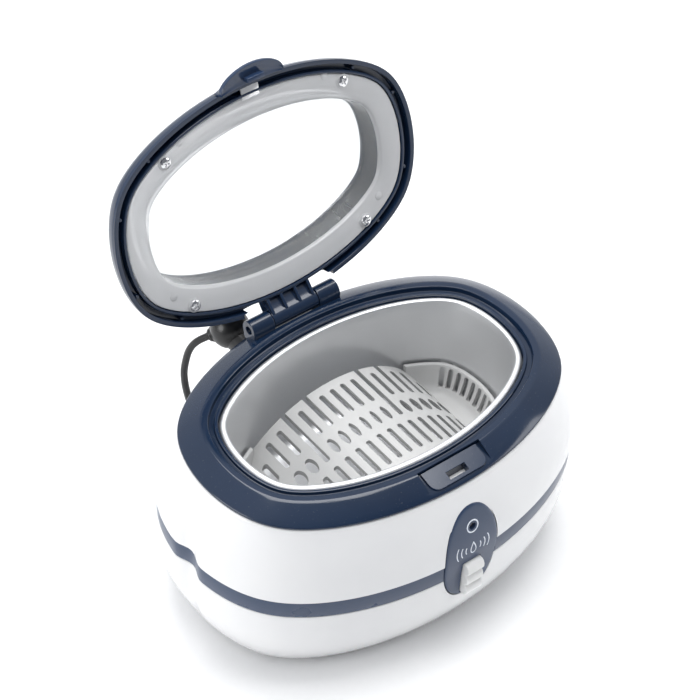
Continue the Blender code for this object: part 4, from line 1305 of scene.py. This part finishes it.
    def marks(self) -> None:
        """Ejector circles beside the screws and small nibs along the channel."""
        bm = bmesh.new()
        for x, y in ((-38.5, -40.6), (38.5, -40.6), (-56.5, 26.2), (56.5, 26.2)):
            spun([(1.7 * MM, 0), (1.9 * MM, 0.12 * MM), (1.9 * MM, 0.5 * MM)],
                 Vector((x * MM, y * MM, LID_RIM + 1.0 * MM)), Vector((0, 0, 1)), 20, bm)
        for x, y in self.corners():
            spun([(3.2 * MM, 0), (3.4 * MM, 0.12 * MM), (3.4 * MM, 0.5 * MM)],
                 Vector((x * MM, y * MM, LID_RIM + 0.95 * MM)), Vector((0, 0, 1)), 28, bm)
        rounded_box((-4.6, -51.6, 100.9), (4.6, -46.0, 101.7), 0.25, bm)
        dressed(draft("tray_marks", opened(bm)), FROSTED, Body.LID)
        nibs = bmesh.new()
        for turn in (20, 62, 118, 160, 200, 242, 298, 340):
            x, y = LID.point(math.radians(turn), 3.6 * MM)
            spun([(0.7 * MM, 0.0), (0.9 * MM, 0.3 * MM), (0.9 * MM, 3.6 * MM)],
                 Vector((x, y, LID_RIM + 1.4 * MM)), Vector((0, 0, 1)), 14, nibs)
        dressed(draft("channel_nibs", opened(nibs)), LID_BLUE, Body.LID)


# ------------------------------------------------------------------ basket


@dataclass
class Basket:
    """Arched, slotted bridge with a slotted cup at each end."""

    arch_r: float = 59.4
    arch_z: float = 19.3
    thick: float = 2.0
    half_y: float = 29.3
    pitch: float = 5.85
    slot: float = 2.5
    steps: int = 72

    def build(self) -> None:
        """Builds and dresses the basket."""
        basket = draft("slotted_basket", self.cups())
        middle = rounded_box((-43.7, -60, 40), (43.7, 60, 70), 0.4)
        carved(basket, middle)
        bridge = draft("bridge", self.arch())
        carved(bridge, self.well(), "INTERSECT")
        bridged = bmesh.new()
        bridged.from_mesh(bridge.data)
        bpy.data.objects.remove(bridge)
        carved(basket, bridged, "UNION")
        carved(basket, self.slots())
        carved(basket, self.cup_slots())
        dressed(basket, BASKET_GREY, Body.BASKET, ["basket"], 34)

    def cups(self) -> bmesh.types.BMesh:
        """Shallow oval tray whose ends become the cups."""
        section = filleted([(44, 46.8, 0), (39.9, 48.0, 1.2), (37.0, 51.2, 1.5), (35.2, 58.0, 1.0),
                            (34.4, 63.0, 0.5),
                            (36.2, 63.0, 0.5), (37.0, 58.0, 1.0), (38.8, 52.2, 1.5), (41.4, 49.6, 1.2),
                            (44, 48.8, 0)], 3, False)
        return loft([BODY.ring(i, z, 160) for i, z in section], False)

    def arch(self) -> bmesh.types.BMesh:
        """Bent strip with rounded side edges."""
        reach = math.asin(53.0 / self.arch_r)
        across = filleted([(-self.half_y, 0.0, 0.5), (self.half_y, 0.0, 0.5), (self.half_y, -self.thick, 0.5),
                           (-self.half_y, -self.thick, 0.5)], 2)
        rows = []
        for i in range(self.steps + 1):
            a = reach * (2 * i / self.steps - 1)
            rows.append([((self.arch_r * MM + h) * math.sin(a), y, self.arch_z * MM + (self.arch_r * MM + h)
                          * math.cos(a)) for y, h in across])
        return loft(rows, False)

    def well(self) -> bmesh.types.BMesh:
        """Space just inside the tank that trims the bridge."""
        section = [(43.2, 46.8), (39.8, 48.4), (36.9, 52.0), (35.0, 58.0), (34.4, 82.0)]
        return loft([BODY.ring(i * MM, z * MM, 96) for i, z in section], False)

    def slots(self) -> bmesh.types.BMesh:
        """Long slots front and rear, a middle row of ovals and four open slits."""
        bm = bmesh.new()
        half = self.slot / 2 * MM
        for column in range(16):
            x = (column - 7.5) * self.pitch
            far = 25.0 if abs(x) < 40 else 19.5
            low = 51.5 if abs(x) > 38 else 45.0
            low, high = low * MM, 82 * MM
            slit = column in (3, 5, 10, 12)
            start = -4.2 if column in (3, 10) else 8.7
            end = 34.0 if slit else far
            prism(capsule(x * MM, (start + end) / 2 * MM, half, (end - start) / 2 * MM), low, high, "Z", bm)
            prism(capsule(x * MM, -(8.4 + far) / 2 * MM, half, (far - 8.4) / 2 * MM), low, high, "Z", bm)
            if column not in (3, 10):
                wide = (1.15 + 0.028 * abs(x)) * MM
                oval = [(x * MM + wide * math.cos(a), 4.4 * MM * math.sin(a))
                        for a in (2 * math.pi * i / 20 for i in range(20))]
                prism(oval, low, high, "Z", bm)
        return bm

    def cup_turns(self, pitch: float = 4.4 * MM, count: int = 5) -> list[float]:
        """Evenly spaced places round half a cup and their mirror images.

        Args:
            pitch: Distance between slots along the wall.
            count: Slots on each side of the middle.

        Returns:
            Angles of the wall's outward normals.
        """
        turns: list[float] = []
        angle, walked, here = 0.0, 0.0, BODY.point(0.0, 36 * MM)
        while len(turns) < count:
            angle += 0.002
            after = BODY.point(angle, 36 * MM)
            walked, here = walked + math.dist(here, after), after
            if walked >= (len(turns) + 0.5) * pitch:
                turns.append(angle)
        return [-turn for turn in turns] + turns

    def cup_slots(self) -> bmesh.types.BMesh:
        """Upright slots fanned round each end cup."""
        bm = bmesh.new()
        for side in (0.0, math.pi):
            for turn in self.cup_turns():
                x, y = BODY.point(side + turn, 36.0 * MM)
                face = Matrix.Translation((x, y, 0)) @ Matrix.Rotation(side + turn, 4, "Z")
                cutter = prism(capsule(0, 56.1 * MM, 1.2 * MM, 5.6 * MM), -3.4 * MM, 6 * MM, "X")
                cutter.transform(face)
                spare = bpy.data.meshes.new("spare")
                cutter.to_mesh(spare)
                cutter.free()
                bm.from_mesh(spare)
                bpy.data.meshes.remove(spare)
        return bm


# ------------------------------------------------------------------ mains lead


@dataclass
class Lead:
    """Mains lead with its gland, sleeve, coil and plug."""

    diameter: float = 3.5 * MM
    gland: Triple = (-19.9, 77.5, 84.4)
    start: Triple = (-26.6, 84.3, 78.0)
    coil_at: Pair = (62.0, 91.0)
    turns: tuple[float, ...] = (25.4, 21.8, 18.2, 14.6)
    plug_at: Triple = (8.0, 102.0, 6.6)
    path: list[Vector] = field(default_factory=list)

    def build(self) -> None:
        self.relief()
        plug = self.plug()
        lead = self.lead()
        length = sum((b - a).length for a, b in zip(self.path, self.path[1:]))
        LOG.info("lead: %.3f m long", length)
        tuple(self.path[0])

    def relief(self) -> None:
        """Round gland on the rear wall with a ribbed, tapering sleeve."""
        centre = Vector(self.gland) * MM
        out = (Vector(self.start) * MM - centre).normalized()
        bm = bmesh.new()
        dome = []
        for i in range(15):
            a = -math.pi / 2 + math.pi * (i + 0.5) / 15
            dome.append((9.3 * math.cos(a) * MM, 9.3 * math.sin(a) * MM))
        spun(dome, centre, out, 48, bm)
        relief = draft("cord_gland", bm)
        neck = spun([(5.9 * MM, 0), (5.9 * MM, 14 * MM), (7.6 * MM, 15 * MM)],
                    Vector((centre.x, 61.5 * MM, 82 * MM)), Vector((0, 1, 0)), 40)
        carved(relief, neck, "UNION")
        end = (Vector(self.start) * MM - centre).length / MM - 0.3
        profile = [(6.4, 2.0), (5.2, 7.4), (3.9, 8.6), (3.5, 8.8), (3.5, 9.3), (3.7, 9.5), (3.3, 10.1),
                   (3.0, 10.2),
                   (3.0, 10.6), (3.1, 10.8), (2.7, end - 0.1), (2.4, end)]
        sleeve = spun([(r * MM, a * MM) for r, a in profile], centre, out, 40)
        carved(relief, sleeve, "UNION")
        dressed(relief, BLACK_FLEX, Body.BASE, ["strain_relief"], 32)

    def route(self) -> list[Vector]:
        """Whole centre line of the lead, from the sleeve to the plug."""
        free = [self.start, (-30.4, 88.6, 72.8), (-32.5, 91.4, 66.4), (-33.8, 92.6, 58.3),
                (-34.3, 93.0, 50.0),
                (-33.8, 91.8, 40.0), (-31.5, 90.2, 28.5), (-26.6, 88.2, 17.2), (-18.0, 85.6, 8.0),
                (-6.5, 82.4, 2.9), (6.5, 78.4, 1.9), (21.0, 73.4, 1.9), (36.0, 68.8, 1.9), (50.0, 66.2, 1.9)]
        cx, cy = self.coil_at
        coil = []
        per_turn, layers = 24, 2
        for layer in range(layers):
            radii = self.turns if layer == 0 else tuple(reversed(self.turns))
            for index, radius in enumerate(radii):
                nearest = radii[index + 1] if index + 1 < len(radii) else radius
                for i in range(per_turn):
                    t = i / per_turn
                    ease = max(0.0, (t - 0.75) / 0.25)
                    ease = ease * ease * (3 - 2 * ease)
                    r = radius + (nearest - radius) * ease
                    rise = ease if (layer == 0 and index == len(radii) - 1) else 0.0
                    a = -math.pi / 2 + 2 * math.pi * t
                    coil.append((cx + r * math.cos(a), cy + r * math.sin(a), 1.9 + 3.6 * (layer + rise)))
        for i in range(13):
            a = -math.pi / 2 + math.pi * i / 12
            coil.append((cx + self.turns[0] * math.cos(a), cy + self.turns[0] * math.sin(a), 5.5))
        px, py, pz = self.plug_at
        tail = [(56.0, cy + self.turns[0], 5.3), (49.0, cy + self.turns[0] - 0.8, 4.8), (42.6, 112.8, 4.6),
                (36.8, 108.6, 4.9), (31.0, 104.4, 5.7), (25.6, 102.4, 6.4), (px + 12.3, py, pz)]
        return smooth_line(free, 3)[:-1] + [Vector(p) * MM for p in [free[-1]] + coil + tail]

    def lead(self) -> bpy.types.Object:
        """Round lead as one curve."""
        self.path = self.route()
        curve = bpy.data.curves.new("mains_lead", "CURVE")
        curve.dimensions = "3D"
        curve.bevel_depth, curve.bevel_resolution = self.diameter / 2, 4
        curve.use_fill_caps = True
        spline = curve.splines.new("POLY")
        spline.points.add(len(self.path) - 1)
        for target, place in zip(spline.points, self.path):
            target.co = (*place, 1.0)
        curve.materials.append(BLACK_FLEX.material())
        obj = bpy.data.objects.new("mains_lead", curve)
        bpy.context.scene.collection.objects.link(obj)
        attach(obj, Body.BASE.value)
        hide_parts("power_cord", "cord_coil", "cord_tail")
        LOG.info("mains_lead: %d points", len(self.path))
        return obj

    def plug(self) -> bpy.types.Object:
        """Moulded two-pin plug with grip grooves and round pins."""
        x, y, z = self.plug_at
        rings = []
        for along, half_y, half_z in ((12, 3.2, 3.2), (11.6, 4.0, 4.0), (8, 5.6, 5.2), (5.4, 6.4, 5.5),
                                      (5.0, 6.0, 5.1), (4.2, 6.0, 5.1), (3.8, 6.9, 5.6), (1.4, 7.5, 5.8),
                                      (1.0, 7.1, 5.4), (0.2, 7.1, 5.4), (-0.2, 7.9, 5.9), (-6, 9.0, 6.3),
                                      (-10.4, 9.4, 6.4), (-11.0, 8.9, 5.9)):
            ring = []
            for i in range(40):
                c, s = math.cos(2 * math.pi * i / 40), math.sin(2 * math.pi * i / 40)
                ring.append(((x + along) * MM, (y + half_y * math.copysign(abs(c) ** 0.66, c)) * MM,
                             (z + half_z * math.copysign(abs(s) ** 0.66, s)) * MM))
            rings.append(ring)
        plug = dressed(draft("plug_body", loft(rings, False)), BLACK_FLEX, Body.BASE, ["mains_plug"], 40)
        pins = bmesh.new()
        for side in (-6.3, 6.3):
            rounded_box((x - 26, y + side - 0.8, z - 3.1), (x - 10, y + side + 0.8, z + 3.1), 0.35, pins)
        blades = dressed(draft("plug_pins", pins), SCREW, Body.BASE)
        blades.parent = plug
        return plug


# ------------------------------------------------------------------ works, stage and main


@dataclass
class Works:
    """Parts inside the body, kept as the frame has them, each given its own finish."""

    finishes: dict[str, Finish] = field(default_factory=lambda: {
        "tank_seal": SILICONE, "transducer_block": STEEL, "transducer_back": STEEL, "piezo_disc": CERAMIC,
        "drive_board": BOARD, "control_board": BOARD, "transformer": FERRITE, "heat_sink": HEAT_SINK,
        "filter_capacitor": DARK_PART, "switch_body": DARK_PART})

    def build(self) -> None:
        """Dresses the inner parts."""
        for name, finish in self.finishes.items():
            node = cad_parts[name]
            node.data.materials.clear()
            node.data.materials.append(finish.material())
            LOG.info("%s: %s", name, finish.name)


@dataclass
class Stage:
    """Pale floor, soft lights and the camera."""

    place: Triple = (-0.48974, -0.54291, 0.85855)
    azimuth: float = -41.169
    elevation: float = 45.239
    roll: float = 3.994
    lens: float = 124.82

    def build(self) -> None:
        """Sets up the floor, the light and the camera."""
        self.camera()
        self.floor()
        self.world()
        self.lamps()

    def camera(self) -> None:
        """Camera over the front left corner."""
        az, el, roll = (math.radians(a) for a in (self.azimuth, self.elevation, self.roll))
        back = Vector((math.sin(az) * math.cos(el), -math.cos(az) * math.cos(el), math.sin(el)))
        right = Vector((math.cos(az), math.sin(az), 0.0))
        up = back.cross(right)
        side = math.cos(roll) * right + math.sin(roll) * up
        top = -math.sin(roll) * right + math.cos(roll) * up
        turn = Matrix((side, top, back)).transposed().to_4x4()
        data = bpy.data.cameras.new("camera")
        data.lens, data.sensor_width, data.clip_start, data.clip_end = self.lens, 36.0, 0.05, 20.0
        camera = bpy.data.objects.new("camera", data)
        camera.matrix_world = Matrix.Translation(self.place) @ turn
        bpy.context.scene.collection.objects.link(camera)
        bpy.context.scene.camera = camera

    def floor(self) -> None:
        """Sheet of pale paper under the cleaner."""
        bm = bmesh.new()
        bmesh.ops.create_grid(bm, x_segments=8, y_segments=8, size=3.0)
        floor = draft("paper", bm)
        floor.location.z = -0.0002
        floor.data.materials.append(Floor("studio_paper", "").material())

    def world(self) -> None:
        """Even white surroundings."""
        world = bpy.data.worlds.new("studio")
        world.use_nodes = True
        nodes = Nodes(world.node_tree, 3)
        way = nodes.add("ShaderNodeSeparateXYZ")
        nodes.join(nodes.add("ShaderNodeTexCoord").outputs["Generated"], way.inputs[0])
        share = nodes.span(way.outputs["Y"], -0.62, 0.05)
        sky = nodes.blend(share, (0.20, 0.21, 0.23), (0.95, 0.97, 1.0))
        nodes.join(sky, world.node_tree.nodes["Background"].inputs["Color"])
        world.node_tree.nodes["Background"].inputs["Strength"].default_value = 0.95
        bpy.context.scene.world = world
        bpy.context.scene.view_settings.view_transform = "Standard"

    def lamps(self) -> None:
        """Large soft lights: over the top, from the left and from the right."""
        for name, place, power, size in (("over", (0.15, 0.20, 1.3), 15.0, 0.9),
                                         ("left", (-1.5, 0.3, 0.7), 9.0, 0.8),
                                         ("right", (1.3, -0.9, 0.8), 6.0, 0.7)):
            data = bpy.data.lights.new(name, "AREA")
            data.energy, data.size = power, size
            lamp = bpy.data.objects.new(name, data)
            lamp.location = place
            lamp.rotation_euler = (Vector(place) - Vector((0, 0, 0.06))).to_track_quat("Z", "Y").to_euler()
            bpy.context.scene.collection.objects.link(lamp)


def main() -> None:
    """Builds the cleaner's looks in order."""
    logging.basicConfig(level=logging.INFO, format="%(message)s")
    for part in (Stage(), Lead(), Shells(), Bezel(), Tank(), Panel(), Lid(), Basket(), Works()):
        part.build()
        LOG.info("%s: done", type(part).__name__)


if __name__ == "__main__":
    main()
